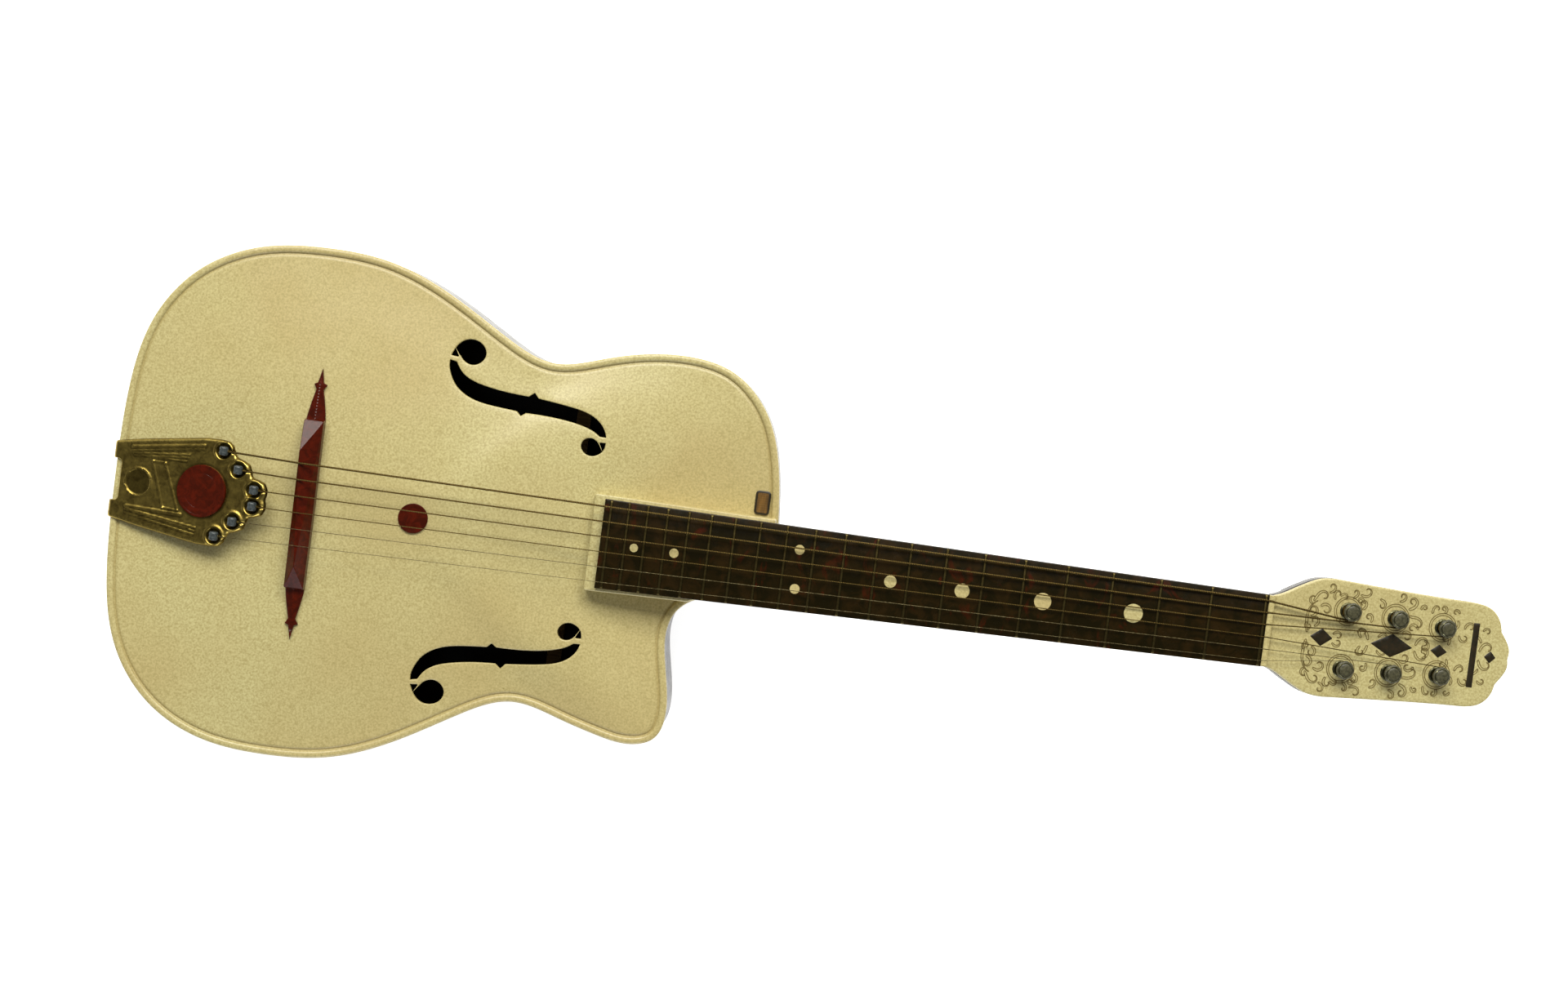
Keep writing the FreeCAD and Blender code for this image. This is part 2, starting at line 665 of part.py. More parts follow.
def post(index):
    """Tuning post turned in one with its gear wheel, in the head's frame."""
    u, v = post_place(index)
    stem = rod(0, 0, -13.7, POST_TOP - 1.0, POST_RADIUS)
    rim = rod(0, 0, POST_TOP - 2.2, POST_TOP - 1.0, CAP_RADIUS)
    cap = Part.makeCone(CAP_RADIUS, CAP_RADIUS - 1.2, 1.0, V(0, 0, POST_TOP - 1.0))
    pivot = rod(0, 0, -15.4, -13.7, 2.0)
    wheel = gear(WHEEL_TEETH, WHEEL_LOW, WHEEL_HIGH, 180.0 / WHEEL_TEETH)
    return moved(fuse([stem, rim, cap, pivot, wheel]), u, v)


def winding(index):
    u, v = post_place(index)
    ring = rod(0, 0, WINDING_START, WINDING_END, WINDING_RADIUS).cut(
        rod(0, 0, WINDING_START - 1, WINDING_END + 1, POST_RADIUS))
    return moved(ring, u, v)


def knob_place(index):
    u, v = post_place(index)
    return u + GEAR_CENTRES, v


def knob_shaft(index):
    """Shaft with its pinion, from a blind pivot in the plate to inside the knob."""
    u, v = knob_place(index)
    pivot = rod(0, 0, PINION_HIGH, -1.6, 1.5)
    pinion = gear(PINION_TEETH, PINION_LOW, PINION_HIGH, 180.0)
    shaft = rod(0, 0, -27.0, PINION_LOW, 2.5)
    return moved(fuse([pivot, pinion, shaft]), u, v)


def knob(index):
    """Fluted knob on the rear."""
    u, v = knob_place(index)
    body = rod(0, 0, -30.0, -18.4, KNOB_RADIUS)
    flutes = []
    for i in range(12):
        angle = math.radians(30.0 * i)
        flutes.append(rod((KNOB_RADIUS + 1.0) * math.cos(angle), (KNOB_RADIUS + 1.0) * math.sin(angle),
                          -31.0, -18.0, 1.8))
    body = cut(body, flutes + [rod(0, 0, -27.0, -18.0, 2.5)])
    return moved(body, u, v)


def plate_bushings():
    """Flanged bushings of the posts in the face plate."""
    rings = []
    for index in range(STRINGS):
        u, v = post_place(index)
        ring = rod(u, v, -PLATE_THICKNESS - 0.6, 0.0, 5.0).fuse(rod(u, v, 0.0, 0.9, 5.6))
        rings.append(ring.cut(rod(u, v, -9.0, 9.0, POST_RADIUS + RUNNING_GAP)).removeSplitter())
    return rings


def cover_bushings():
    """Bushings of the knob shafts in the rear cover."""
    rings = []
    for index in range(STRINGS):
        u, v = knob_place(index)
        ring = rod(u, v, -17.6, -HEAD_DEPTH + 0.6, 4.2)
        rings.append(ring.cut(rod(u, v, -20.0, -10.0, 2.5 + RUNNING_GAP)))
    return rings


def head_screws():
    screws = []
    for u, v in PLATE_BOSSES:
        head = Part.makeCone(2.4, 1.2, 1.3, V(u, v, -HEAD_DEPTH - COVER_THICKNESS))
        screws.append(head.fuse(rod(u, v, -HEAD_DEPTH - COVER_THICKNESS, -6.0, 1.2)).removeSplitter())
    return screws


def head_plate(bushings, screws):
    plate = head_prism(-PLATE_THICKNESS, PLATE_TOP)
    bosses = [rod(u, v, -HEAD_DEPTH, -PLATE_THICKNESS, 3.4) for u, v in PLATE_BOSSES]
    sockets = []
    for index in range(STRINGS):
        u, v = knob_place(index)
        sockets.append(rod(u, v, -4.0, -1.4, 1.5 + RUNNING_GAP))
    return cut(fuse([plate] + bosses), bushings + screws + sockets + plate_post_clearance())


def plate_post_clearance():
    """The post's hole, kept clear inside each bushing."""
    places = [post_place(index) for index in range(STRINGS)]
    return [rod(u, v, -9.0, 9.0, POST_RADIUS + RUNNING_GAP) for u, v in places]


def head_cover(bushings, screws):
    low, high = -HEAD_DEPTH - COVER_THICKNESS, -HEAD_DEPTH
    cover = head_prism(low, high, COVER_START)
    holes = []
    for index in range(STRINGS):
        u, v = post_place(index)
        holes.append(rod(u, v, low + 0.9, high + 1.0, 2.0 + RUNNING_GAP))
        u, v = knob_place(index)
        holes.append(rod(u, v, low - 2.0, high + 1.0, 2.5 + RUNNING_GAP))
    return cut(cover, bushings + screws + holes)


def head_inlays():
    """Plain dark lozenges and a cross bar on the face."""
    def lozenge(u, half_u, half_v):
        return prism([(u - half_u, 0.0), (u, -half_v), (u + half_u, 0.0), (u, half_v)], 0.0, 0.3)
    bar = box(142.6, 147.0, -22.0, 22.0, 0.0, 0.3)
    return [lozenge(36.0, 8.0, 6.0), lozenge(86.0, 15.0, 8.0), lozenge(120.0, 6.0, 4.5), bar,
            lozenge(157.0, 4.2, 4.2)]


def main():
    os.makedirs("parts", exist_ok=True)
    bolts = neck_bolts()
    screws = tailpiece_screws()
    tail_tools = tail_screw_tools()
    export("soundboard", soundboard())
    export("back_and_sides", back_and_sides(bolts, tail_tools))
    export("neck_block", neck_block(bolts))
    export("tail_block", tail_block(tail_tools))
    export("top_braces", top_braces())
    export("back_braces", back_braces())
    export("fretboard_riser", fretboard_riser())
    export("neck_bolts", group(bolts))
    bar = neck_bar()
    export("neck_bar", bar)
    export("neck", neck(bar, bolts))
    frets = fret_tools()
    dots = dot_tools()
    export("fret_wires", group(frets))
    export("position_dots", group(dots))
    export("fretboard", fretboard(frets + dots))

    strings = [string(index) for index in range(STRINGS)]
    for index, shape in enumerate(strings):
        export("string_%d" % (index + 1), shape)
    export("string_ball_ends", group(string_ball_ends()))
    export("nut", nut(strings))
    export("bridge_base", bridge_base())
    export("bridge_saddle", bridge_saddle())
    export("tailpiece_plate", tailpiece_plate())
    export("tailpiece_screws", group(screws))
    export("tailpiece_medallion", tailpiece_medallion())
    export("soundboard_disc", soundboard_disc())
    export("badge", badge())

    rings = plate_bushings()
    sleeves = cover_bushings()
    fixings = head_screws()
    export("post_bushings", group([on_head(ring) for ring in rings]))
    export("knob_bushings", group([on_head(ring) for ring in sleeves]))
    export("head_screws", group([on_head(screw) for screw in fixings]))
    beyond_nut = box(HEAD_X - 20.0, HEAD_X, -60.0, 60.0, 0.0, 200.0)
    export("head_plate", on_head(head_plate(rings, fixings)).cut(beyond_nut))
    export("head_cover", on_head(head_cover(sleeves, fixings)))
    export("head_inlays", group([on_head(piece) for piece in head_inlays()]))
    for index in range(STRINGS):
        number = index + 1
        export("post_%d" % number, on_head(post(index)))
        export("winding_%d" % number, on_head(winding(index)))
        export("knob_shaft_%d" % number, on_head(knob_shaft(index)))
        export("knob_%d" % number, on_head(knob(index)))


main()
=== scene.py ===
import math

import bmesh
import bpy
import numpy as np
from mathutils import Matrix, Vector
from mathutils.geometry import delaunay_2d_cdt


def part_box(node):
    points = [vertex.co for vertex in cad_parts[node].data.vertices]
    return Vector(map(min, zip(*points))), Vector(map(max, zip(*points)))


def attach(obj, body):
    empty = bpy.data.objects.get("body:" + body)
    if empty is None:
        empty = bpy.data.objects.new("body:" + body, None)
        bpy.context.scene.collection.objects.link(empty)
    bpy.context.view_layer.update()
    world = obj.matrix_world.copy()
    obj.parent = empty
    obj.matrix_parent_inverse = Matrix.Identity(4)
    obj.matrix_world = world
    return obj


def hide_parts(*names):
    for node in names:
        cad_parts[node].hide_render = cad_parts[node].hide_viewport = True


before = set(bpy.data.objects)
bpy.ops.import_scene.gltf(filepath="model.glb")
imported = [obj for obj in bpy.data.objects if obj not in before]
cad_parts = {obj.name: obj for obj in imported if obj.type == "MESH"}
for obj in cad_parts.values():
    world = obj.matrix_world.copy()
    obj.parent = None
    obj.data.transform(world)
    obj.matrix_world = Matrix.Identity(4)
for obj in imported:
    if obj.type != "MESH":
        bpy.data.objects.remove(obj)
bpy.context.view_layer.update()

bl_info = {
    "name": "Plastic Archtop Guitar",
    "version": (1, 0, 0),
    "blender": (4, 5, 0),
    "location": "View3D > Sidebar > Guitar",
    "description": "Builds the visible pieces of a moulded cutaway archtop guitar round its frame",
    "category": "Object",
}

MM = 0.001


def low(node):
    """Lowest corner of a CAD node in millimetres."""
    return np.array(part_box(node)[0]) / MM


def high(node):
    """Highest corner of a CAD node in millimetres."""
    return np.array(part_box(node)[1]) / MM


# ---- sizes in millimetres, from the frame or as the part is drawn -------------
STRINGS = 6
FRETS = 20
SCALE_LENGTH = 648.0
BODY_END = high("soundboard")[0]
TOP_THICKNESS = 3.0
RIM_Z = low("soundboard")[2] + TOP_THICKNESS
TOP_RISE = high("soundboard")[2] - RIM_Z
RIM_WIDTH = 6.0
SIDE_INSET = 1.0
WALL = 3.0
ARCH_CENTRE = np.array([60.0, 0.0])
BOARD_TOP = high("fretboard")[2]
BOARD_UNDER = low("fretboard")[2]
BOARD_START = low("fretboard")[0]
BOARD_END = high("fretboard")[0]
BOARD_HALF = 24.4
BOARD_TAPER = 0.0131
SADDLE_X = -3.0
SADDLE_TOP = high("bridge_saddle")[2]
SADDLE_FOOT = low("bridge_saddle")[2]
SADDLE_HALF = high("bridge_saddle")[1]
HEAD_ORIGIN = np.array([654.0, 0.0, 100.0])
HEAD_TILT = 11.0
PLATE_THICKNESS = 3.0
HEAD_DEPTH = 14.0
COVER_THICKNESS = 2.5
TAIL_SLOPE = 13.0
TAIL_BEND = np.array([-136.5, 82.7])
TAIL_BEND_RADIUS = 4.0
TAIL_FOOT_Z = low("tailpiece_plate")[2]
BALL_PLACES = ((-61.0, 29.0), (-49.2, 17.6), (-36.5, 5.5))
WIRES = (1.32, 1.06, 0.82, 0.62, 0.43, 0.33)
WOUND = 4
POST_RADIUS = 3.5
MEDALLION_X = -73.2
# the camera: degrees about X, Y and Z, its place over the board, and its lens
CAMERA_TURNS = (1.64, -1.43, -7.39)
CAMERA_PLACE = (321.9, 4.9, 2002.0)
CAMERA_LENS = 68.1
CAMERA_SENSOR = 36.0

BASS_SHOULDER = [(317.0, 24.0), (315.6, 40.0), (311.2, 70.0), (299.9, 100.5), (287.0, 116.3),
                 (272.0, 126.6), (246.0, 132.6), (217.0, 131.4)]
FLANK = [(185.0, 123.9), (151.0, 116.6), (117.0, 129.8), (80.4, 151.2), (33.0, 170.4), (-12.5, 174.6),
         (-56.9, 169.6), (-97.7, 148.7), (-124.6, 112.0), (-135.6, 62.0)]
TAIL_POINT = (-137.6, 0.0)
HORN = [(212.0, -131.6), (238.0, -134.4), (251.4, -128.4), (256.9, -113.0), (255.2, -91.6), (251.6, -73.0),
        (250.2, -56.0), (254.4, -41.8), (266.0, -31.6), (290.0, -27.0)]


# ---- curves -------------------------------------------------------------------
def spline(points, count=400):
    """Natural cubic spline through points, its parameter the summed chord lengths."""
    p = np.asarray(points, float)
    t = np.concatenate([[0.0], np.cumsum(np.linalg.norm(np.diff(p, axis=0), axis=1))])
    h = np.diff(t)[:, None]
    n = len(p)
    system = np.eye(n)
    right = np.zeros_like(p)
    inner = np.arange(1, n - 1)
    system[inner, inner - 1] = h[:-1, 0]
    system[inner, inner] = 2.0 * (h[:-1, 0] + h[1:, 0])
    system[inner, inner + 1] = h[1:, 0]
    right[1:-1] = 6.0 * (np.diff(p[1:], axis=0) / h[1:] - np.diff(p[:-1], axis=0) / h[:-1])
    bend = np.linalg.solve(system, right)
    s = np.linspace(0.0, t[-1], count)
    k = np.clip(np.searchsorted(t, s) - 1, 0, n - 2)
    a = (t[k + 1] - s)[:, None]
    b = (s - t[k])[:, None]
    span = h[k]
    return (bend[k] * a ** 3 + bend[k + 1] * b ** 3) / (6.0 * span) + \
        (p[k] / span - bend[k] * span / 6.0) * a + (p[k + 1] / span - bend[k + 1] * span / 6.0) * b


def arc(centre, radius, start, stop, count=16):
    """Points at equal angles on a circle, in degrees."""
    a = np.radians(np.linspace(start, stop, count))
    return np.stack([centre[0] + radius * np.cos(a), centre[1] + radius * np.sin(a)], 1)


def even_loop(points, step):
    """A closed loop's points spaced evenly along its length."""
    p = np.vstack([points, points[:1]])
    keep = np.concatenate([[True], np.linalg.norm(np.diff(p, axis=0), axis=1) > 1e-6])
    p = p[keep]
    t = np.concatenate([[0.0], np.cumsum(np.linalg.norm(np.diff(p, axis=0), axis=1))])
    s = np.linspace(0.0, t[-1], max(12, int(round(t[-1] / step))) + 1)[:-1]
    return np.stack([np.interp(s, t, p[:, i]) for i in range(p.shape[1])], 1)


def soften(points, step, reach):
    """Rounds a loop's corners: each point is the mean of its neighbours within reach."""
    p = even_loop(np.asarray(points, float), step)
    width = max(1, int(round(reach / step)))
    total = p.copy()
    for k in range(1, width + 1):
        total += np.roll(p, k, 0) + np.roll(p, -k, 0)
    return total / (2 * width + 1)


def loop_normals(p):
    """Unit normals to the left of a closed loop, which is inwards when it runs anticlockwise."""
    t = np.roll(p, -1, 0) - np.roll(p, 1, 0)
    t /= np.linalg.norm(t, axis=1)[:, None] + 1e-12
    return np.stack([-t[:, 1], t[:, 0]], 1)


def inset(p, distance):
    """A loop moved to its left by distance."""
    return p + loop_normals(p) * distance


def mirror_v(points):
    """The points on the other side of the centreline, in an order that keeps the loop's sense."""
    p = np.asarray(points, float)[::-1].copy()
    p[:, 1] *= -1.0
    return p


def turned_about_y(points, origin, tilt):
    """Points (u, v, w) turned about Y by tilt degrees, so that u dips for a positive tilt, then moved."""
    a = math.radians(tilt)
    p = np.asarray(points, float)
    u, v, w = p[..., 0], p[..., 1], p[..., 2]
    return np.stack([origin[0] + u * math.cos(a) + w * math.sin(a), origin[1] + v,
                     origin[2] - u * math.sin(a) + w * math.cos(a)], -1)


def on_head(points):
    """From the head's own frame to the guitar's."""
    return turned_about_y(points, HEAD_ORIGIN, HEAD_TILT)


def board_half(x):
    """Half width of the fretboard at a place along it."""
    return BOARD_HALF + BOARD_TAPER * (BOARD_END - x)


def fret_x(number):
    """Equal temperament: each fret divides the length that is left by the twelfth root of two."""
    return SCALE_LENGTH / 2.0 ** (number / 12.0)


# ---- the body's outline and arch ----------------------------------------------
def body_outline(step=1.6):
    """Spline round the body, closed across the neck joint with one rounded corner."""
    points = BASS_SHOULDER + FLANK + [TAIL_POINT] + [(x, -y) for x, y in reversed(FLANK)] + HORN
    corner = 9.0
    end_y = HORN[-1][1]
    ring = np.vstack([spline(points, 1800), arc((BODY_END - corner, end_y + corner), corner, -90.0, 0.0)])
    return even_loop(ring, step)


OUTLINE = body_outline()
ARCH_EDGE = inset(OUTLINE, RIM_WIDTH) - ARCH_CENTRE
ARCH_ANGLES = np.arctan2(ARCH_EDGE[:, 1], ARCH_EDGE[:, 0])
ARCH_ORDER = np.argsort(ARCH_ANGLES)


def arch_z(x, y):
    """Arch over the rim's plane: rise times (1 - u squared) to the power 1.25, where u is the distance from the
    centre as a part of the edge's distance in that direction."""
    dx = np.asarray(x, float) - ARCH_CENTRE[0]
    dy = np.asarray(y, float) - ARCH_CENTRE[1]
    reach = np.interp(np.arctan2(dy, dx), ARCH_ANGLES[ARCH_ORDER],
                      np.linalg.norm(ARCH_EDGE, axis=1)[ARCH_ORDER], period=2.0 * math.pi)
    u = np.clip(np.hypot(dx, dy) / reach, 0.0, 1.0)
    return RIM_Z + TOP_RISE * (1.0 - u * u) ** 1.25


def tail_z(x):
    """Upper surface of the tailpiece's slope."""
    return TAIL_BEND[1] + (x - TAIL_BEND[0]) * math.tan(math.radians(TAIL_SLOPE))


# ---- meshes -------------------------------------------------------------------
def inside(points, loop):
    """Which points lie inside a loop: a ray towards +X crosses it an odd number of times."""
    x, y = points[:, 0][:, None], points[:, 1][:, None]
    x0, y0 = loop[:, 0][None], loop[:, 1][None]
    x1, y1 = np.roll(loop[:, 0], -1)[None], np.roll(loop[:, 1], -1)[None]
    spans = (y0 > y) != (y1 > y)
    slope = (x1 - x0) / np.where(np.abs(y1 - y0) < 1e-12, 1e-12, y1 - y0)
    return (np.sum(spans & (x < x0 + (y - y0) * slope), axis=1) % 2) == 1


def apart(points, loop, distance):
    """Which points are further than distance from every point of a loop."""
    keep = np.ones(len(points), bool)
    for start in range(0, len(points), 4000):
        block = points[start:start + 4000]
        gap = (block[:, 0][:, None] - loop[:, 0][None]) ** 2 + (block[:, 1][:, None] - loop[:, 1][None]) ** 2
        keep[start:start + 4000] = gap.min(1) > distance * distance
    return keep


def filled(outer, holes, step):
    """Triangles over a region: the loops' points and a triangular lattice of points between them, joined by
    Delaunay's rule; returns points and triangles."""
    loops = [outer] + list(holes)
    low_corner, high_corner = outer.min(0), outer.max(0)
    rows = np.arange(low_corner[1], high_corner[1], step * 0.866)
    columns = np.arange(low_corner[0], high_corner[0], step)
    grid_x, grid_y = np.meshgrid(columns, rows)
    grid_x = grid_x + (np.arange(len(rows)) % 2)[:, None] * step / 2.0
    lattice = np.stack([grid_x.ravel(), grid_y.ravel()], 1)
    keep = inside(lattice, outer) & apart(lattice, outer, step * 0.6)
    for hole in holes:
        keep &= ~inside(lattice, hole) & apart(lattice, hole, step * 0.6)
    points = np.vstack(loops + [lattice[keep]])
    follows = np.full(len(points), -2)
    first = 0
    for loop in loops:
        follows[first:first + len(loop)] = first + np.roll(np.arange(len(loop)), -1)
        first += len(loop)
    edges = np.column_stack([np.arange(first), follows[:first]]).tolist()
    found = delaunay_2d_cdt([Vector(p) for p in points.tolist()], edges, [], 0, 1e-7)
    flat = np.array([tuple(v) for v in found[0]])
    triangles = np.array([f for f in found[2] if len(f) == 3])
    middle = flat[triangles].mean(1)
    kept = inside(middle, outer)
    for hole in holes:
        kept &= ~inside(middle, hole)
    # slivers along a straight border: the side of the border they lie on is told by the way they run past it
    known = np.array([(v[0] if v else -1) for v in found[3]])[triangles]
    after = np.roll(known, -1, 1)
    along, against = follows[known] == after, follows[after] == known
    border = np.where(known < len(outer), 1, -1)
    kept |= ((along & (border > 0)) | (against & (border < 0))).any(1)
    kept &= ~((against & (border > 0)) | (along & (border < 0))).any(1)
    return flat, triangles[kept]


class Shape:
    """Points and faces of one piece, in millimetres, with a painted-light value at each point, which each finish
    turns into painted shade or painted highlight.
    """

    def __init__(self):
        self.points = []
        self.faces = []
        self.wear = []
        self.count = 0

    def add(self, points, faces, wear=0.0):
        points = np.asarray(points, float).reshape(-1, 3)
        self.points.append(points)
        self.wear.append(np.broadcast_to(np.asarray(wear, float), (len(points),)))
        self.faces.extend((np.asarray(faces) + self.count).tolist())
        self.count += len(points)

    def grid(self, rows, around=True, along=False, wear=0.0):
        """Quads between rows of points; around closes each row, along joins the last row to the first."""
        rows = np.asarray(rows, float)
        m, n = rows.shape[:2]
        i, j = np.meshgrid(np.arange(m if along else m - 1), np.arange(n if around else n - 1), indexing="ij")
        a, b = i.ravel(), j.ravel()
        c, d = (a + 1) % m, (b + 1) % n
        quads = np.stack([a * n + b, a * n + d, c * n + d, c * n + b], 1)
        self.add(rows.reshape(-1, 3), quads, np.broadcast_to(np.asarray(wear, float), (m, n)).ravel()
                 if np.ndim(wear) else wear)

    def cap(self, ring, wear=0.0):
        """A flat or gently curved end: triangles from the ring's middle."""
        ring = np.asarray(ring, float)
        n = len(ring)
        i = np.arange(n)
        faces = np.stack([i, (i + 1) % n, np.full(n, n)], 1)
        self.add(np.vstack([ring, ring.mean(0)]), faces, wear)

    def ends(self, rows):
        """Closes the first and the last row."""
        self.cap(rows[0])
        self.cap(rows[-1])

    def cover(self, outer, holes, step, lift, wear=None):
        """A filled region raised to lift(x, y)."""
        flat, triangles = filled(outer, holes, step)
        points = lift(flat)
        self.add(points, triangles, 0.0 if wear is None else wear(flat))


def finish_piece(name, shape, material, body="root", replaces=(), sharp=38.0, merge=True):
    """Makes the mesh, joins its seams, turns its faces outwards, and hangs it on its body."""
    mesh = bpy.data.meshes.new(name)
    points = np.vstack(shape.points) * MM
    mesh.from_pydata(points.tolist(), [], shape.faces)
    attribute = mesh.attributes.new("wear", "FLOAT", "POINT")
    attribute.data.foreach_set("value", np.concatenate(shape.wear).astype(np.float32))
    if merge:
        work = bmesh.new()
        work.from_mesh(mesh)
        bmesh.ops.remove_doubles(work, verts=work.verts, dist=2e-6)
        bmesh.ops.recalc_face_normals(work, faces=work.faces)
        work.to_mesh(mesh)
        work.free()
    mesh.shade_smooth()
    mesh.set_sharp_from_angle(angle=math.radians(sharp))
    mesh.materials.append(material)
    piece = bpy.data.objects.new(name, mesh)
    bpy.context.scene.collection.objects.link(piece)
    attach(piece, body)
    if replaces:
        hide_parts(*replaces)
    return piece


def plate(shape, outer, holes, top, under, rows, hole_rows, step, under_step=None, wear=None):
    """A moulded plate: a filled top and underside, joined round every loop by a profile. rows gives the
    profile as (inset, drop) pairs, a part of the way down from the top when drop is from 0 to 1."""
    def ring(loop, distance, drop):
        p = inset(loop, distance)
        upper, lower = top(p), under(p)
        return upper + (lower - upper) * drop

    shape.grid([ring(outer, d, k) for d, k in rows])
    for hole in holes:
        shape.grid([ring(hole, d, k) for d, k in hole_rows])
    outer_top = inset(outer, rows[0][0])
    outer_under = inset(outer, rows[-1][0])
    shape.cover(outer_top, [inset(h, hole_rows[0][0]) for h in holes], step, top, wear)
    shape.cover(outer_under, [inset(h, hole_rows[-1][0]) for h in holes], under_step or step * 2.0, under)


def lathe(profile, segments=48, flutes=0, depth=0.0):
    """A profile of (radius, height) turned round the height axis; flutes cut into the radius by a cosine."""
    p = np.asarray(profile, float)
    a = np.linspace(0.0, 2.0 * math.pi, segments, endpoint=False)
    trim = 1.0 - depth * (0.5 - 0.5 * np.cos(flutes * a)) ** 1.6 if flutes else np.ones_like(a)
    radius = p[:, 0][:, None] * trim[None]
    return np.stack([radius * np.cos(a)[None], radius * np.sin(a)[None],
                     np.broadcast_to(p[:, 1][:, None], radius.shape)], -1)


def tube_rows(path, radius, sides=12, up=(0.0, 0.0, 1.0)):
    """Rings round a path: each ring stands square to the path, turned by a fixed up direction."""
    p = np.asarray(path, float)
    t = np.gradient(p, axis=0)
    t /= np.linalg.norm(t, axis=1)[:, None]
    side = np.cross(t, np.asarray(up, float))
    side /= np.linalg.norm(side, axis=1)[:, None]
    top = np.cross(side, t)
    a = np.linspace(0.0, 2.0 * math.pi, sides, endpoint=False)
    radius = np.broadcast_to(np.asarray(radius, float), (len(p),))[:, None, None]
    return p[:, None] + radius * (np.cos(a)[None, :, None] * side[:, None] + np.sin(a)[None, :, None] * top[:, None])


def strip_rows(path, half_width, half_height, up=(0.0, 0.0, 1.0)):
    """Four-cornered rings along a path, for thin flat lines."""
    p = np.asarray(path, float)
    t = np.gradient(p, axis=0)
    t /= np.linalg.norm(t, axis=1)[:, None] + 1e-12
    side = np.cross(t, np.asarray(up, float))
    side /= np.linalg.norm(side, axis=1)[:, None] + 1e-12
    top = np.cross(side, t)
    w = np.broadcast_to(np.asarray(half_width, float), (len(p),))[:, None]
    corners = [(-1, -1), (1, -1), (1, 1), (-1, 1)]
    return np.stack([p + side * w * i + top * half_height * j for i, j in corners], 1)


# ---- materials ----------------------------------------------------------------
def linear(code):
    """sRGB hex to linear RGBA."""
    parts = [int(code[i:i + 2], 16) / 255.0 for i in (1, 3, 5)]
    return tuple(c / 12.92 if c <= 0.04045 else ((c + 0.055) / 1.055) ** 2.4 for c in parts) + (1.0,)


def add(tree, kind, inputs=None, **settings):
    """Adds one node with its settings; an input is a value, or a socket to link."""
    item = tree.nodes.new(kind)
    for key, value in settings.items():
        setattr(item, key, value)
    for key, value in (inputs or {}).items():
        if isinstance(value, bpy.types.NodeSocket):
            tree.links.new(value, item.inputs[key])
        else:
            item.inputs[key].default_value = value
    return item


def begin(name):
    """An empty material: returns it and its node tree."""
    made = bpy.data.materials.new(name)
    made.use_nodes = True
    made.node_tree.nodes.clear()
    return made, made.node_tree


def patches(tree, size_mm, low_end, high_end, detail=3.0, swirl=0.0, stretch=(1.0, 1.0, 1.0), shift=0.0):
    """Soft patches about size_mm across, as a socket from 0 to 1: noise on object coordinates, with the values
    between low_end and high_end spread over the whole range."""
    place = add(tree, "ShaderNodeTexCoord").outputs["Object"]
    moved = add(tree, "ShaderNodeMapping", {"Vector": place, "Location": (shift, shift, shift),
                                            "Scale": stretch}).outputs[0]
    cloud = add(tree, "ShaderNodeTexNoise", {"Vector": moved, "Scale": 1.0 / (size_mm * MM), "Detail": detail,
                                             "Roughness": 0.6, "Distortion": swirl}).outputs["Fac"]
    return add(tree, "ShaderNodeMapRange", {0: cloud, 1: low_end, 2: high_end}).outputs[0]


def painted_light_share(tree, most):
    """The piece's own painted-light values times the most they may show, as a socket."""
    painted_light_socket = add(tree, "ShaderNodeAttribute", attribute_name="wear", attribute_type="GEOMETRY").outputs["Fac"]
    return add(tree, "ShaderNodeMapRange", {0: painted_light_socket, 4: most}).outputs[0]


def cream_styrene(colours):
    """Injection-moulded polystyrene gone ivory: a fine mottle under a soft gloss, brown painted shade in its
    grooves.
    """
    made, tree = begin("ivory_moulded_polystyrene")
    # broad fading of the plastic, about 150 mm across
    cloud = patches(tree, 150.0, 0.35, 0.65, 2.0)
    # dust and moulding grain: 0.3 mm on the real one, drawn at 1.4 mm so that it shows
    grain = patches(tree, 1.4, 0.36, 0.72, 2.0)
    tone = add(tree, "ShaderNodeMix", {0: cloud, 6: tuple(colours.cream), 7: tuple(colours.cream_faded)},
               data_type="RGBA").outputs[2]
    speckled = add(tree, "ShaderNodeMix", {0: grain, 6: tone, 7: tuple(colours.cream_grain)},
                   data_type="RGBA").outputs[2]
    # stray specks of dirt, 2 mm apart at the nearest
    specks = patches(tree, 2.4, 0.73, 0.78, 2.0, shift=0.37)
    dusty = add(tree, "ShaderNodeMix", {0: specks, 6: speckled, 7: linear("#9d8f55")}, data_type="RGBA").outputs[2]
    # painted shade: brown in the rim's groove and a little down the outer edge, where the piece's values ask for it
    dirty = add(tree, "ShaderNodeMix", {0: painted_light_share(tree, 0.42), 6: dusty, 7: linear("#8c7840")},
                data_type="RGBA").outputs[2]
    gloss = add(tree, "ShaderNodeMapRange", {0: patches(tree, 30.0, 0.3, 0.7), 3: 0.3, 4: 0.42}).outputs[0]
    relief = add(tree, "ShaderNodeBump", {"Height": grain, "Distance": 0.02 * MM, "Strength": 0.5}).outputs[0]
    shader = add(tree, "ShaderNodeBsdfPrincipled", {"Base Color": dirty, "Roughness": gloss, "Normal": relief,
                                                    "IOR": 1.55})
    add(tree, "ShaderNodeOutputMaterial", {"Surface": shader.outputs[0]})
    return made


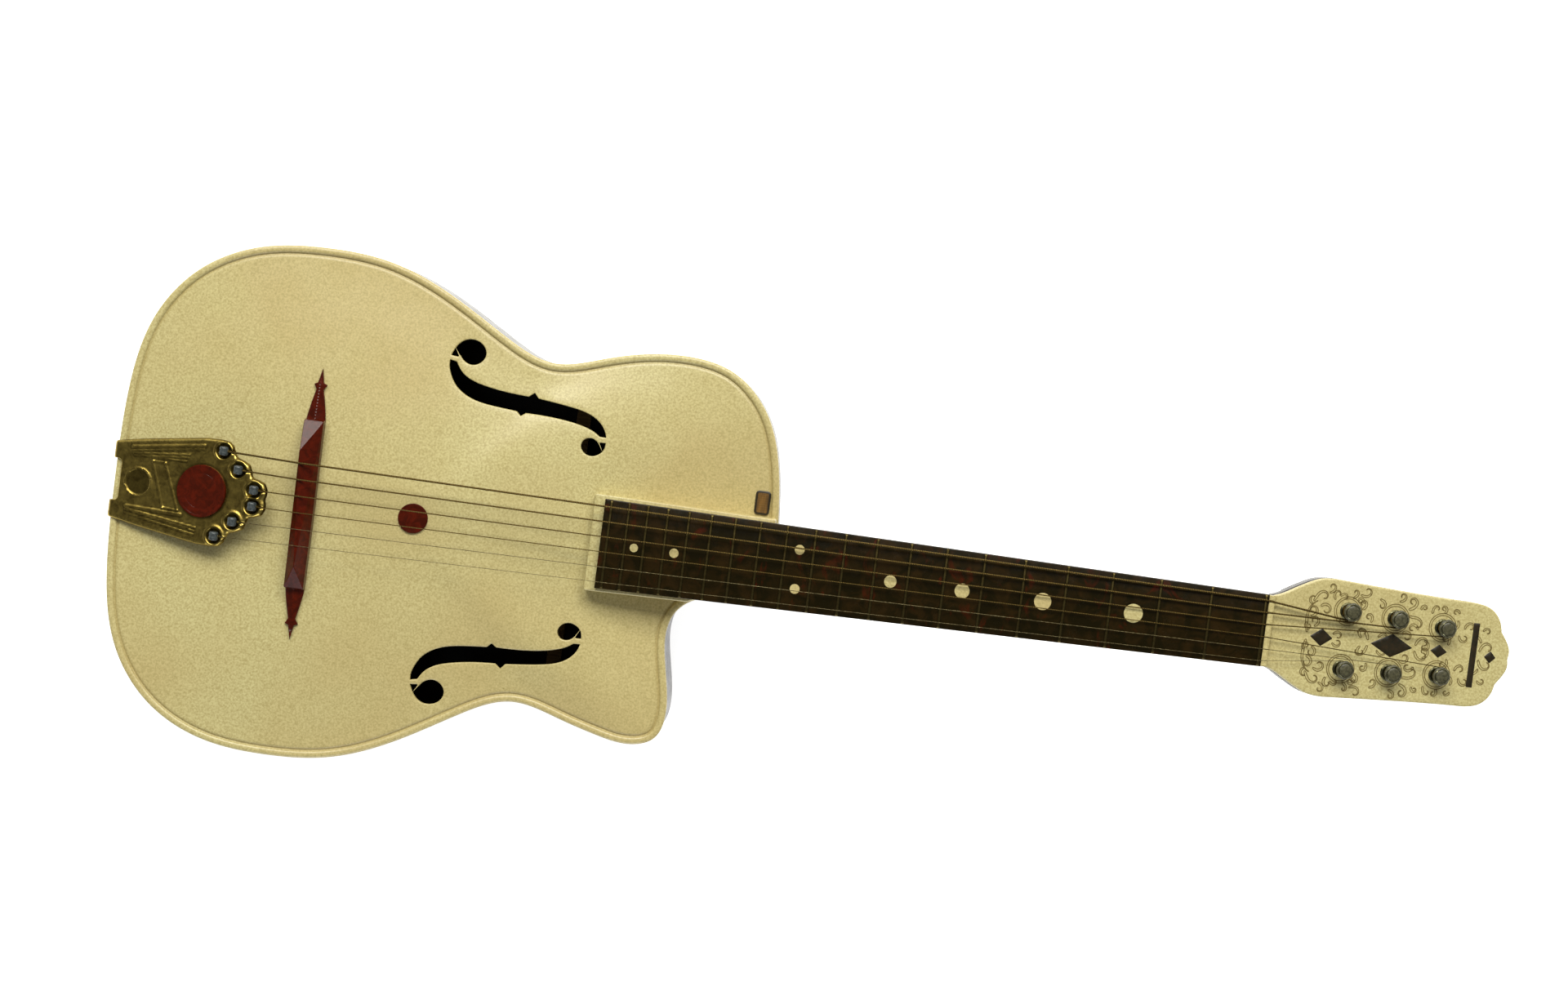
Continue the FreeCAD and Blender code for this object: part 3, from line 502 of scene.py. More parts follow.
def tortoise_styrene(colours):
    """Marbled polystyrene, moulded from swirled chips and polished: red flames in a brown-black ground."""
    made, tree = begin("marbled_dark_polystyrene")
    cloud = patches(tree, 12.0, 0.42, 0.62, 5.0, 0.8)
    flame = patches(tree, 16.0, 0.6, 0.8, 5.0, 1.2, (1.0, 0.6, 1.0), 0.11)
    ground = add(tree, "ShaderNodeMix", {0: cloud, 6: tuple(colours.board_ground), 7: tuple(colours.board_cloud)},
                 data_type="RGBA").outputs[2]
    marbled = add(tree, "ShaderNodeMix", {0: flame, 6: ground, 7: tuple(colours.board_flame)},
                  data_type="RGBA").outputs[2]
    gloss = add(tree, "ShaderNodeMapRange", {0: patches(tree, 8.0, 0.3, 0.7), 3: 0.2, 4: 0.3}).outputs[0]
    relief = add(tree, "ShaderNodeBump", {"Height": patches(tree, 2.0, 0.3, 0.7), "Distance": 0.015 * MM,
                                          "Strength": 0.5}).outputs[0]
    shader = add(tree, "ShaderNodeBsdfPrincipled", {"Base Color": marbled, "Roughness": gloss, "Normal": relief,
                                                    "Specular IOR Level": 0.14})
    add(tree, "ShaderNodeOutputMaterial", {"Surface": shader.outputs[0]})
    return made


def oxblood_styrene(colours):
    """Deep red-brown polystyrene, pressed and polished: slow swirls under a wet-looking gloss."""
    made, tree = begin("oxblood_polished_polystyrene")
    swirl = patches(tree, 6.0, 0.38, 0.66, 3.0, 1.2)
    tone = add(tree, "ShaderNodeMix", {0: swirl, 6: tuple(colours.oxblood), 7: tuple(colours.oxblood_swirl)},
               data_type="RGBA").outputs[2]
    # lighter pink where the piece's painted-light values are set
    painted_light_socket = add(tree, "ShaderNodeMix", {0: painted_light_share(tree, 0.7), 6: tone, 7: linear("#8a5a4a")},
               data_type="RGBA").outputs[2]
    gloss = add(tree, "ShaderNodeMapRange", {0: patches(tree, 4.0, 0.3, 0.7), 3: 0.14, 4: 0.24}).outputs[0]
    relief = add(tree, "ShaderNodeBump", {"Height": patches(tree, 0.9, 0.3, 0.7), "Distance": 0.01 * MM,
                                          "Strength": 0.4}).outputs[0]
    shader = add(tree, "ShaderNodeBsdfPrincipled", {"Base Color": painted_light_socket, "Roughness": gloss, "Normal": relief,
                                                    "Specular IOR Level": 0.22})
    add(tree, "ShaderNodeOutputMaterial", {"Surface": shader.outputs[0]})
    return made


def stamped_brass(colours):
    """Stamped brass under old lacquer: green-brown tarnish in blotches, painted shade in its hollows and under its
    rolled edge, painted highlights along its ridges and the top of its rolled edge.
    """
    made, tree = begin("stamped_lacquered_brass")
    blotch = patches(tree, 5.0, 0.38, 0.64, 5.0, 0.6)
    tone = add(tree, "ShaderNodeMix", {0: blotch, 6: tuple(colours.brass), 7: tuple(colours.brass_tarnish)},
               data_type="RGBA").outputs[2]
    # painted highlights on the ridges' tops and on the top of the rolled edge carry values below zero
    painted_light_socket = add(tree, "ShaderNodeAttribute", attribute_name="wear", attribute_type="GEOMETRY").outputs["Fac"]
    painted_highlight = add(tree, "ShaderNodeMapRange", {0: painted_light_socket, 1: -1.0, 2: 0.0, 3: 0.9, 4: 0.0}).outputs[0]
    # painted highlight: the brass turns pale where the values are below zero
    clean = add(tree, "ShaderNodeMix", {0: painted_highlight, 6: tone, 7: linear("#d9c06a")}, data_type="RGBA").outputs[2]
    # painted shade: dark brown where the values are above zero
    dark = add(tree, "ShaderNodeMix", {0: painted_light_share(tree, 0.9), 6: clean, 7: linear("#2f270c")},
               data_type="RGBA").outputs[2]
    gloss = add(tree, "ShaderNodeMapRange", {0: patches(tree, 1.5, 0.3, 0.7, 4.0), 3: 0.26, 4: 0.4}).outputs[0]
    relief = add(tree, "ShaderNodeBump", {"Height": patches(tree, 0.7, 0.3, 0.7), "Distance": 0.02 * MM,
                                          "Strength": 0.5}).outputs[0]
    shader = add(tree, "ShaderNodeBsdfPrincipled", {"Base Color": dark, "Metallic": 1.0, "Roughness": gloss,
                                                    "Normal": relief})
    add(tree, "ShaderNodeOutputMaterial", {"Surface": shader.outputs[0]})
    return made


def dulled_metal(name, bright, dull, patch_mm, smooth, rough):
    """Bare or plated metal that has dulled: two tones in fine patches, rougher where it is duller."""
    made, tree = begin(name)
    patch = patches(tree, patch_mm, 0.35, 0.65, 4.0)
    tone = add(tree, "ShaderNodeMix", {0: patch, 6: linear(bright), 7: linear(dull)}, data_type="RGBA").outputs[2]
    gloss = add(tree, "ShaderNodeMapRange", {0: patch, 3: smooth, 4: rough}).outputs[0]
    relief = add(tree, "ShaderNodeBump", {"Height": patches(tree, 0.5, 0.3, 0.7), "Distance": 0.01 * MM,
                                          "Strength": 0.4}).outputs[0]
    shader = add(tree, "ShaderNodeBsdfPrincipled", {"Base Color": tone, "Metallic": 1.0, "Roughness": gloss,
                                                    "Normal": relief})
    add(tree, "ShaderNodeOutputMaterial", {"Surface": shader.outputs[0]})
    return made


def wound_string():
    """Bronze wire wound on a steel core: rings across the string. The real turns are 0.3 mm apart, and are
    drawn 1.2 mm apart so that they show; a wave repeats every 0.314 over its scale."""
    made, tree = begin("bronze_wound_string")
    place = add(tree, "ShaderNodeTexCoord").outputs["Object"]
    turns = add(tree, "ShaderNodeTexWave", {"Vector": place, "Scale": 0.314 / (1.2 * MM)}, wave_type="BANDS",
                bands_direction="X").outputs["Fac"]
    tone = add(tree, "ShaderNodeMix", {0: turns, 6: linear("#2c2210"), 7: linear("#6a5830")},
               data_type="RGBA").outputs[2]
    relief = add(tree, "ShaderNodeBump", {"Height": turns, "Distance": 0.08 * MM, "Strength": 0.8}).outputs[0]
    shader = add(tree, "ShaderNodeBsdfPrincipled", {"Base Color": tone, "Metallic": 1.0, "Roughness": 0.42,
                                                    "Normal": relief})
    add(tree, "ShaderNodeOutputMaterial", {"Surface": shader.outputs[0]})
    return made


def painted(name, first, second, patch_mm, roughness, stretch=(1.0, 1.0, 1.0)):
    """Paint, lacquer or raw wood: two tones in patches of patch_mm, stretched where there is a grain."""
    made, tree = begin(name)
    patch = patches(tree, patch_mm, 0.32, 0.68, 4.0, stretch=stretch)
    tone = add(tree, "ShaderNodeMix", {0: patch, 6: linear(first), 7: linear(second)}, data_type="RGBA").outputs[2]
    relief = add(tree, "ShaderNodeBump", {"Height": patch, "Distance": 0.03 * MM, "Strength": 0.5}).outputs[0]
    shader = add(tree, "ShaderNodeBsdfPrincipled", {"Base Color": tone, "Roughness": roughness, "Normal": relief})
    add(tree, "ShaderNodeOutputMaterial", {"Surface": shader.outputs[0]})
    return made


MATERIALS = {}


def material(key):
    """Each finish is made once, when a piece first asks for it."""
    colours = bpy.context.scene.guitar_colours
    makers = {
        "cream": lambda: cream_styrene(colours),
        "tortoise": lambda: tortoise_styrene(colours),
        "oxblood": lambda: oxblood_styrene(colours),
        "brass": lambda: stamped_brass(colours),
        "wound": wound_string,
        # sawn spruce: pale straight grain along the piece
        "spruce": lambda: painted("sawn_spruce", "#c9a66b", "#a57e45", 2.0, 0.75, (0.04, 1.0, 1.0)),
        # black-brown lacquer let into the face, thin in places
        "lacquer": lambda: painted("black_brown_lacquer", "#191604", "#2c2009", 3.0, 0.38),
        # brown paint rubbed into fine engraved lines, uneven and matt
        "engraving": lambda: painted("brown_engraving_paint", "#5a4a1c", "#83733f", 2.0, 0.6),
        # orange-brown varnished face with brushed lines across it
        "amber": lambda: painted("amber_varnish", "#765523", "#4c3614", 1.4, 0.35, (1.0, 0.12, 1.0)),
        # nickel-silver fret wire gone brown
        "fret": lambda: dulled_metal("dull_fret_wire", "#5f5432", "#3f351c", 3.0, 0.35, 0.55),
        # plain drawn steel, browned by handling
        "plain_wire": lambda: dulled_metal("plain_steel_wire", "#6e6448", "#48402a", 2.0, 0.3, 0.45),
        # ball ends: blackened brass barrels with a blue-grey bloom
        "ball": lambda: painted("blackened_ball_end", "#4d5455", "#2c3131", 1.2, 0.34),
        # nickel plate worn through and filmed over: no mirror left in it
        "cap": lambda: painted("filmed_nickel_cap", "#57543c", "#2f2d19", 1.6, 0.45),
        # nickel plate, yellowed and cloudy
        "nickel": lambda: dulled_metal("tarnished_nickel_plate", "#6a684e", "#363422", 1.5, 0.28, 0.5),
        # machined mild steel
        "steel": lambda: dulled_metal("machined_steel", "#9a9a96", "#6c6c68", 2.5, 0.3, 0.5),
    }
    if key not in MATERIALS:
        MATERIALS[key] = makers[key]()
    return MATERIALS[key]


def finish_nodes(names, key):
    """Gives CAD nodes that stay their finish."""
    for name in names:
        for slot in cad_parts[name].material_slots:
            slot.material = material(key)


# ---- shapes of the pieces ------------------------------------------------------
def anticlockwise(loop):
    """The loop, turned round where its area comes out negative."""
    x, y = loop[:, 0], loop[:, 1]
    area = np.sum(x * np.roll(y, -1) - np.roll(x, -1) * y)
    return loop if area > 0.0 else loop[::-1].copy()


def level(z):
    """Lifts plan points to a flat height."""
    return lambda p: np.column_stack([p, np.full(len(p), z)])


def head_level(w):
    """Lifts points of the head's plan to a height over its face."""
    return lambda p: on_head(np.column_stack([p, np.full(len(p), w)]))


def circle(centre, radius, count=48):
    """Anticlockwise circle."""
    return arc(centre, radius, 0.0, 360.0, count + 1)[:-1]


def rounded_box(x0, x1, y0, y1, radius):
    """Anticlockwise rectangle with round corners."""
    return np.vstack([arc((x0 + radius, y0 + radius), radius, 180, 270, 7),
                      arc((x1 - radius, y0 + radius), radius, 270, 360, 7),
                      arc((x1 - radius, y1 - radius), radius, 0, 90, 7),
                      arc((x0 + radius, y1 - radius), radius, 90, 180, 7)])


def f_hole_openings():
    """The bass f-hole's three openings: two round ends and a long stem with a nick on each side."""
    large_end = [[(81.4, 113.1), (84.2, 119.4), (89.4, 124.4), (95.6, 125.4), (102.4, 122.0), (104.7, 115.9),
                  (101.6, 110.3), (95.4, 108.3), (89.9, 110.8), (87.0, 114.3)],
                 [(87.0, 114.3), (86.3, 112.6)], [(86.3, 112.6), (81.4, 113.1)]]
    stem = [[(81.1, 110.1), (81.1, 106.4), (82.9, 100.4), (86.8, 93.8), (92.9, 88.6), (101.0, 84.9),
             (113.9, 82.5), (130.6, 81.0)],
            [(130.6, 81.0), (133.6, 78.0)], [(133.6, 78.0), (137.0, 80.5)],
            [(137.0, 80.5), (150.0, 80.2), (164.9, 78.9), (177.7, 76.4), (184.8, 73.7), (189.0, 71.0)],
            [(189.0, 71.0), (193.5, 70.8)],
            [(193.5, 70.8), (192.2, 74.6), (188.2, 80.2), (180.4, 85.1), (168.0, 88.2), (144.2, 91.2)],
            [(144.2, 91.2), (141.0, 94.8)], [(141.0, 94.8), (137.3, 91.7)],
            [(137.3, 91.7), (124.0, 92.6), (108.5, 94.9), (97.6, 98.0), (90.2, 102.8), (85.8, 109.1)],
            [(85.8, 109.1), (81.1, 110.1)]]
    small_end = [[(193.6, 67.1), (192.9, 62.6), (189.4, 58.8), (184.2, 57.3), (179.2, 59.5), (177.2, 63.8),
                  (179.0, 67.8), (183.1, 69.3), (187.1, 67.9), (189.3, 65.7)],
                 [(189.3, 65.7), (189.8, 67.1)], [(189.8, 67.1), (193.6, 67.1)]]
    return [anticlockwise(even_loop(np.vstack([spline(curve, 60)[:-1] for curve in opening]), 0.8))
            for opening in (large_end, stem, small_end)]


def make_soundboard(sizes):
    """The arch over the outline. Round its edge runs a profile of (inset, height over the arch, painted shade): a
    bead that stands over the rim, and a groove between it and the arch."""
    shape = Shape()
    bead, groove, lip = sizes.bead_height / MM, sizes.groove_depth / MM, sizes.hole_lip / MM
    holes = f_hole_openings()
    holes = holes + [mirror_v(hole) for hole in holes]
    # the third column is painted shade, most in the groove and a little down the outer edge
    profile = [(8.4, 0.0, 0.0), (7.2, -0.05, 0.1), (6.5, -0.35 * groove, 0.35), (6.0, -0.8 * groove, 0.8),
               (5.6, -groove, 1.0), (5.2, -0.9 * groove, 0.9), (4.9, -0.4 * groove, 0.5), (4.6, 0.1 * bead, 0.15),
               (4.1, 0.6 * bead, 0.0), (3.3, 0.92 * bead, 0.0), (2.4, bead, 0.0), (1.5, 0.86 * bead, 0.0),
               (0.8, 0.5 * bead, 0.0), (0.3, -0.05, 0.0), (0.0, -0.7, 0.1), (0.0, -TOP_THICKNESS, 0.3),
               (3.4, -TOP_THICKNESS, 0.0)]

    def lifted(points, height):
        return np.column_stack([points, arch_z(points[:, 0], points[:, 1]) + height])

    shape.grid([lifted(inset(OUTLINE, d), h) for d, h, g in profile],
               wear=np.array([g for d, h, g in profile])[:, None])
    edge = [(-1.2 * lip, 0.0), (-0.6 * lip, -0.12 * lip), (-0.2 * lip, -0.45 * lip), (0.0, -lip),
            (0.0, -TOP_THICKNESS)]
    for hole in holes:
        shape.grid([lifted(inset(hole, d), h) for d, h in edge])
    shape.cover(inset(OUTLINE, profile[0][0]), [inset(h, edge[0][0]) for h in holes], 3.4,
                lambda p: lifted(p, 0.0))
    shape.cover(inset(OUTLINE, profile[-1][0]), holes, 7.0, lambda p: lifted(p, -TOP_THICKNESS))
    finish_piece("arched_soundboard", shape, material("cream"), replaces=["soundboard"],
                 sharp=50.0)


def make_body_shell():
    """A hollow tray under the soundboard: a profile of (inset, height) carried round the outline, from the
    inner floor over the wall's top and down the outside to the rounded edge and the back's shallow groove."""
    shape = Shape()
    inner = SIDE_INSET + WALL
    turn = np.radians(np.linspace(0.0, 90.0, 8))
    rounded = [(SIDE_INSET + 6.0 - 6.0 * math.cos(a), 6.0 - 6.0 * math.sin(a)) for a in turn]
    profile = [(inner + 3.0, WALL), (inner + 0.8, WALL + 0.8), (inner, WALL + 3.0), (inner, RIM_Z - TOP_THICKNESS),
               (SIDE_INSET, RIM_Z - TOP_THICKNESS), (SIDE_INSET, 60.0), (SIDE_INSET, 30.0)] + rounded + \
        [(8.6, 0.0), (9.0, 0.4), (9.6, 0.5), (10.2, 0.4), (10.6, 0.0)]
    shape.grid([level(z)(inset(OUTLINE, d)) for d, z in profile])
    shape.cover(inset(OUTLINE, profile[0][0]), [], 14.0, level(WALL))
    shape.cover(inset(OUTLINE, profile[-1][0]), [], 14.0, level(0.0))
    finish_piece("back_and_sides_shell", shape, material("tortoise"), replaces=["back_and_sides"],
                 sharp=45.0)


def make_riser():
    """The platform that carries the board's end: its plan is the board's taper and a lip, cut off by the
    body's edge, and its foot follows the arch."""
    start, lip = BOARD_START - 7.6, 2.6
    near, far = board_half(start) + lip, board_half(264.0) + lip
    corners = np.array([(start, -near), (262.0, -far), (266.0, -30.4), (274.0, -27.2), (290.0, -25.8),
                        (309.0, -25.8), (315.6, -19.0), (315.8, 24.0), (315.0, board_half(BODY_END) + lip),
                        (start, near)])
    plan = soften(corners, 0.7, 1.4)
    shape = Shape()
    top = BOARD_UNDER

    def foot(p):
        return np.column_stack([p, np.minimum(arch_z(p[:, 0], p[:, 1]) - 0.4, top - 4.0)])
    plate(shape, plan, [], level(top), foot,
          [(1.0, 0.0), (0.5, 0.012), (0.15, 0.05), (0.0, 0.12), (0.0, 1.0)], [], 9.0)
    finish_piece("fretboard_platform", shape, material("cream"), replaces=["fretboard_riser"],
                 sharp=40.0)


def neck_depth(x):
    """Depth under the board: a slow taper to the nut, and the heel's flare at the body."""
    away = np.maximum(x - BODY_END, 0.0) / 17.0
    return 15.6 + 0.019 * (BOARD_END - x) + 62.0 * np.exp(-away ** 1.15)


def head_outline(step=1.0):
    """The head's edge in its own plane, anticlockwise: four splines and their mirror image."""
    halves = [[(0.0, 24.2), (6.0, 26.4), (12.6, 30.0), (21.4, 34.8), (31.0, 38.9), (42.0, 40.1)],
              [(42.0, 40.1), (95.0, 37.2), (125.0, 36.0), (143.0, 35.6)],
              [(143.0, 35.6), (152.6, 33.6), (158.6, 29.4), (162.4, 23.0), (163.6, 18.0)],
              [(163.6, 18.0), (168.0, 12.0), (170.8, 5.0), (170.2, 0.0)]]
    upper = np.vstack([spline(points, 80)[:-1] for points in halves])
    tip = np.array([halves[-1][-1]])
    lower = upper.copy()
    lower[:, 1] *= -1.0
    return even_loop(np.vstack([lower, tip, upper[::-1]]), step)


def make_neck():
    """Half-round shaft: across each section y is minus half width times cos a, and z is the top less the depth
    times sin a to the power 0.8; the head's walls stand round an open pocket."""
    shape = Shape()
    x = np.concatenate([np.linspace(BODY_END, 360.0, 36), np.linspace(366.0, HEAD_ORIGIN[0] + 6.0, 40)])[:, None]
    a = np.linspace(0.0, math.pi, 41)[None]
    half = board_half(x) - 0.5
    ceiling = np.where(x > HEAD_ORIGIN[0], 96.9 - (x - HEAD_ORIGIN[0]) * math.tan(math.radians(HEAD_TILT)),
                       BOARD_UNDER)
    z = np.minimum(BOARD_UNDER - neck_depth(x) * np.sin(a) ** 0.8, ceiling)
    rows = np.stack([np.broadcast_to(x, z.shape), -half * np.cos(a), z], -1)
    shape.grid(rows)
    shape.ends(rows)
    side = [(12.0, 24.0), (27.0, 33.4), (95.0, 32.6), (141.0, 31.0), (152.0, 26.0), (158.0, 13.0)]
    pocket = anticlockwise(soften(side + [(u, -v) for u, v in reversed(side)], 1.0, 2.0))
    plate(shape, head_outline(), [pocket], head_level(-PLATE_THICKNESS), head_level(-HEAD_DEPTH),
          [(0.25, 0.0), (0.0, 0.03), (0.0, 0.97), (0.25, 1.0)], [(0.0, 0.0), (0.0, 1.0)], 6.0)
    finish_piece("neck_and_head_walls", shape, material("tortoise"), replaces=["neck"],
                 sharp=40.0)


def make_fretboard():
    """A tapering slab: one bevelled section of (share of half width, inset, height) carried from end to end."""
    shape = Shape()
    x = np.array([BOARD_START, BOARD_START + 0.4, BOARD_START + 1.0] +
                 list(np.linspace(BOARD_START + 8.0, BOARD_END - 1.0, 46)) + [BOARD_END])
    drop = np.array([0.5, 0.12, 0.0] + [0.0] * 47)
    section = [(-1, 0.0, BOARD_UNDER), (-1, 0.0, BOARD_TOP - 0.6), (-1, 0.15, BOARD_TOP - 0.2),
               (-1, 0.6, BOARD_TOP), (1, 0.6, BOARD_TOP), (1, 0.15, BOARD_TOP - 0.2), (1, 0.0, BOARD_TOP - 0.6),
               (1, 0.0, BOARD_UNDER)]
    rows = np.stack([np.stack([x, side * (board_half(x) - inward), z - drop * (z > BOARD_TOP - 1.0)], -1)
                     for side, inward, z in section], 1)
    shape.grid(rows)
    shape.ends(rows)
    finish_piece("marbled_fretboard", shape, material("tortoise"), replaces=["fretboard"])


def make_frets():
    """Each crown is half an ellipse across, carried across the board, its ends filed down to a slope."""
    shape = Shape()
    a = np.linspace(0.0, math.pi, 11)
    for number in range(FRETS + 1):
        half = board_half(fret_x(number)) - 0.3
        across = np.array([-half, -half + 0.5, -half + 1.4, half - 1.4, half - 0.5, half])
        tall = np.array([0.15, 0.75, 1.0, 1.0, 0.75, 0.15])
        rows = np.stack([np.stack([fret_x(number) - 1.1 * np.cos(a), np.full(11, y),
                                   BOARD_TOP - 0.05 + 1.05 * h * np.sin(a) ** 0.9], -1)
                         for y, h in zip(across, tall)])
        shape.grid(rows)
        shape.ends(rows)
    finish_piece("fret_crowns", shape, material("fret"), replaces=["fret_wires"], sharp=50.0)


def make_dots(sizes):
    """Shallow turned buttons midway between two frets, two at the octave."""
    shape = Shape()
    rise = sizes.dot_rise / MM
    for number, diameter in ((3, 12.9), (5, 11.7), (7, 10.2), (9, 8.5), (12, 6.8), (17, 6.4), (19, 5.8)):
        x = (fret_x(number) + fret_x(number - 1)) / 2.0
        radius = diameter / 2.0
        profile = [(0.01, BOARD_TOP - 1.5), (radius - 0.05, BOARD_TOP - 1.5), (radius, BOARD_TOP - 0.1),
                   (radius - 0.1, BOARD_TOP + 0.6 * rise), (radius - 0.5, BOARD_TOP + rise),
                   (radius * 0.5, BOARD_TOP + rise * 1.1), (0.01, BOARD_TOP + rise * 1.15)]
        for y in ((-13.3, 13.3) if number == 12 else (0.0,)):
            rows = lathe(profile, 40) + np.array([x, y, 0.0])
            shape.grid(rows)
            shape.cap(rows[0])
            shape.cap(rows[-1])
    finish_piece("pearl_dots", shape, material("cream"), replaces=["position_dots"])


# ---- strings -------------------------------------------------------------------
def string_y(index, span):
    """Place across for string 0 (bass) to 5 (treble)."""
    return span / 2.0 - span * index / (STRINGS - 1)


def ridge_x(y):
    """Place of the saddle's slanting ridge along the strings."""
    return SADDLE_X - 5.6 * (y + 41.5) / 77.5


def ball_place(index):
    """Centre of a ball end, bass side first."""
    x, y = BALL_PLACES[min(index, 5 - index)]
    return np.array([x, y if index < 3 else -y, tail_z(x) + 0.6])


def post_place(index):
    """A string's post in the head's frame: the outer strings take the nearest posts."""
    u, v = ((52.4, 19.6), (86.4, 18.5), (120.7, 16.2))[min(index, 5 - index)]
    return u, v if index < 3 else -v


def string_route(index):
    """Corners of a string's way: ball end, saddle, zero fret, winding."""
    radius = WIRES[index] / 2.0
    side = 1.0 if index < 3 else -1.0
    u, v = post_place(index)
    across = string_y(index, 55.7)
    saddle = np.array([ridge_x(across), across, SADDLE_TOP + radius + 0.02])
    zero = np.array([SCALE_LENGTH, string_y(index, 40.9), BOARD_TOP + 1.0 + radius + 0.02])
    wound = on_head(np.array([u - 1.0, v - side * (5.2 + radius + 0.3), 4.6]))
    ball = ball_place(index)
    away = (saddle - ball) / np.linalg.norm(saddle - ball)
    return [ball + away * 3.0, saddle, zero, wound]


def make_strings():
    """Round wires along straight runs between the ball end, the saddle, the zero fret and the winding."""
    for index in range(STRINGS):
        route = string_route(index)
        path = np.vstack([np.linspace(a, b, 12)[:-1] for a, b in zip(route, route[1:])] + [route[-1][None]])
        rows = tube_rows(path, WIRES[index] / 2.0, 10)
        shape = Shape()
        shape.grid(rows)
        shape.ends(rows)
        finish_piece("string_wire_%d" % (index + 1), shape, material("wound" if index < WOUND else "plain_wire"),
                     replaces=["string_%d" % (index + 1)])


def make_ball_ends():
    """Turned barrels that lie across the strings, closed at both ends and a little waisted."""
    shape = Shape()
    profile = [(0.01, 3.1), (1.6, 3.1), (2.5, 2.9), (3.0, 2.4), (3.25, 1.6), (3.1, 0.7), (3.05, 0.0), (3.1, -0.7),
               (3.25, -1.6), (3.0, -2.4), (2.5, -2.9), (1.6, -3.1), (0.01, -3.1)]
    for index in range(STRINGS):
        rows = lathe(profile, 28)[..., [0, 2, 1]] + ball_place(index)
        shape.grid(rows, along=True)
    finish_piece("ball_end_barrels", shape, material("ball"), replaces=["string_ball_ends"])


def make_windings():
    """Each string's turns on its post: a helix whose radius shrinks from the ring's edge to the post while it
    drops by one wire a turn."""
    for index in range(STRINGS):
        u, v = post_place(index)
        side = 1.0 if index < 3 else -1.0
        radius = WIRES[index] / 2.0
        turns = 3.2
        t = np.linspace(0.0, 1.0, 110)
        angle = math.radians(-90.0 * side) + side * 2.0 * math.pi * turns * t
        reach = POST_RADIUS + radius + 0.05 + (5.15 - POST_RADIUS - 2.0 * radius) * np.clip(1.0 - 5.0 * t, 0, 1)
        height = 4.9 - (turns * 2.0 * radius + 0.3) * t * 0.8
        helix = np.column_stack([u + reach * np.cos(angle), v + reach * np.sin(angle), height])
        rows = on_head(tube_rows(helix, radius, 8))
        shape = Shape()
        shape.grid(rows)
        shape.ends(rows)
        finish_piece("string_turns_%d" % (index + 1), shape,
                     material("wound" if index < WOUND else "plain_wire"), body="post_%d" % (index + 1),
                     replaces=["winding_%d" % (index + 1)])


def make_nut():
    """A bar with a round top: its height over x is a shallow arc, lowered to each string's own line by a round
    slot a little wider than the wire."""
    shape = Shape()
    half = board_half(BOARD_END) - 0.4
    y = np.linspace(-half, half, 420)[None]
    x = np.linspace(BOARD_END + 0.05, HEAD_ORIGIN[0] - 0.15, 9)[:, None]
    middle, reach = (x.max() + x.min()) / 2.0, (x.max() - x.min()) / 2.0
    top = BOARD_TOP + 1.2 - 0.55 * np.abs((x - middle) / reach) ** 3 - 0.4 * (np.abs(y) > half - 0.5)
    z = np.broadcast_to(top, (9, 420)).copy()
    for index in range(STRINGS):
        route = string_route(index)
        part = (x - route[2][0]) / (route[3][0] - route[2][0])
        centre = route[2] + part[..., None] * (route[3] - route[2])
        radius = WIRES[index] / 2.0 + 0.06
        gap = np.clip(radius ** 2 - (y - centre[..., 1]) ** 2, 0.0, None)
        z = np.where(gap > 0.0, np.minimum(z, centre[..., 2] - np.sqrt(gap)), z)
    under = np.full_like(z, BOARD_UNDER)
    x_all, y_all = np.broadcast_to(x, z.shape), np.broadcast_to(y, z.shape)
    upper = np.stack([x_all, y_all, z], -1)
    lower = np.stack([x_all, y_all, under], -1)
    ring = np.concatenate([upper, lower[::-1]], 0)
    shape.grid(ring, around=False, along=True)
    for end in (0, -1):
        column = ring[:, end]
        shape.cap(column)
    finish_piece("slotted_nut", shape, material("cream"), replaces=["nut"], sharp=35.0)


# ---- bridge --------------------------------------------------------------------
def wing_top(y):
    """Height of the bridge's back along its length: level under the saddle, a step, then falling wings."""
    return np.interp(np.abs(y), [0.0, 57.0, 57.8, 62.0, 82.0, 94.0], [100.0, 100.0, 97.6, 96.6, 93.4, 89.8])


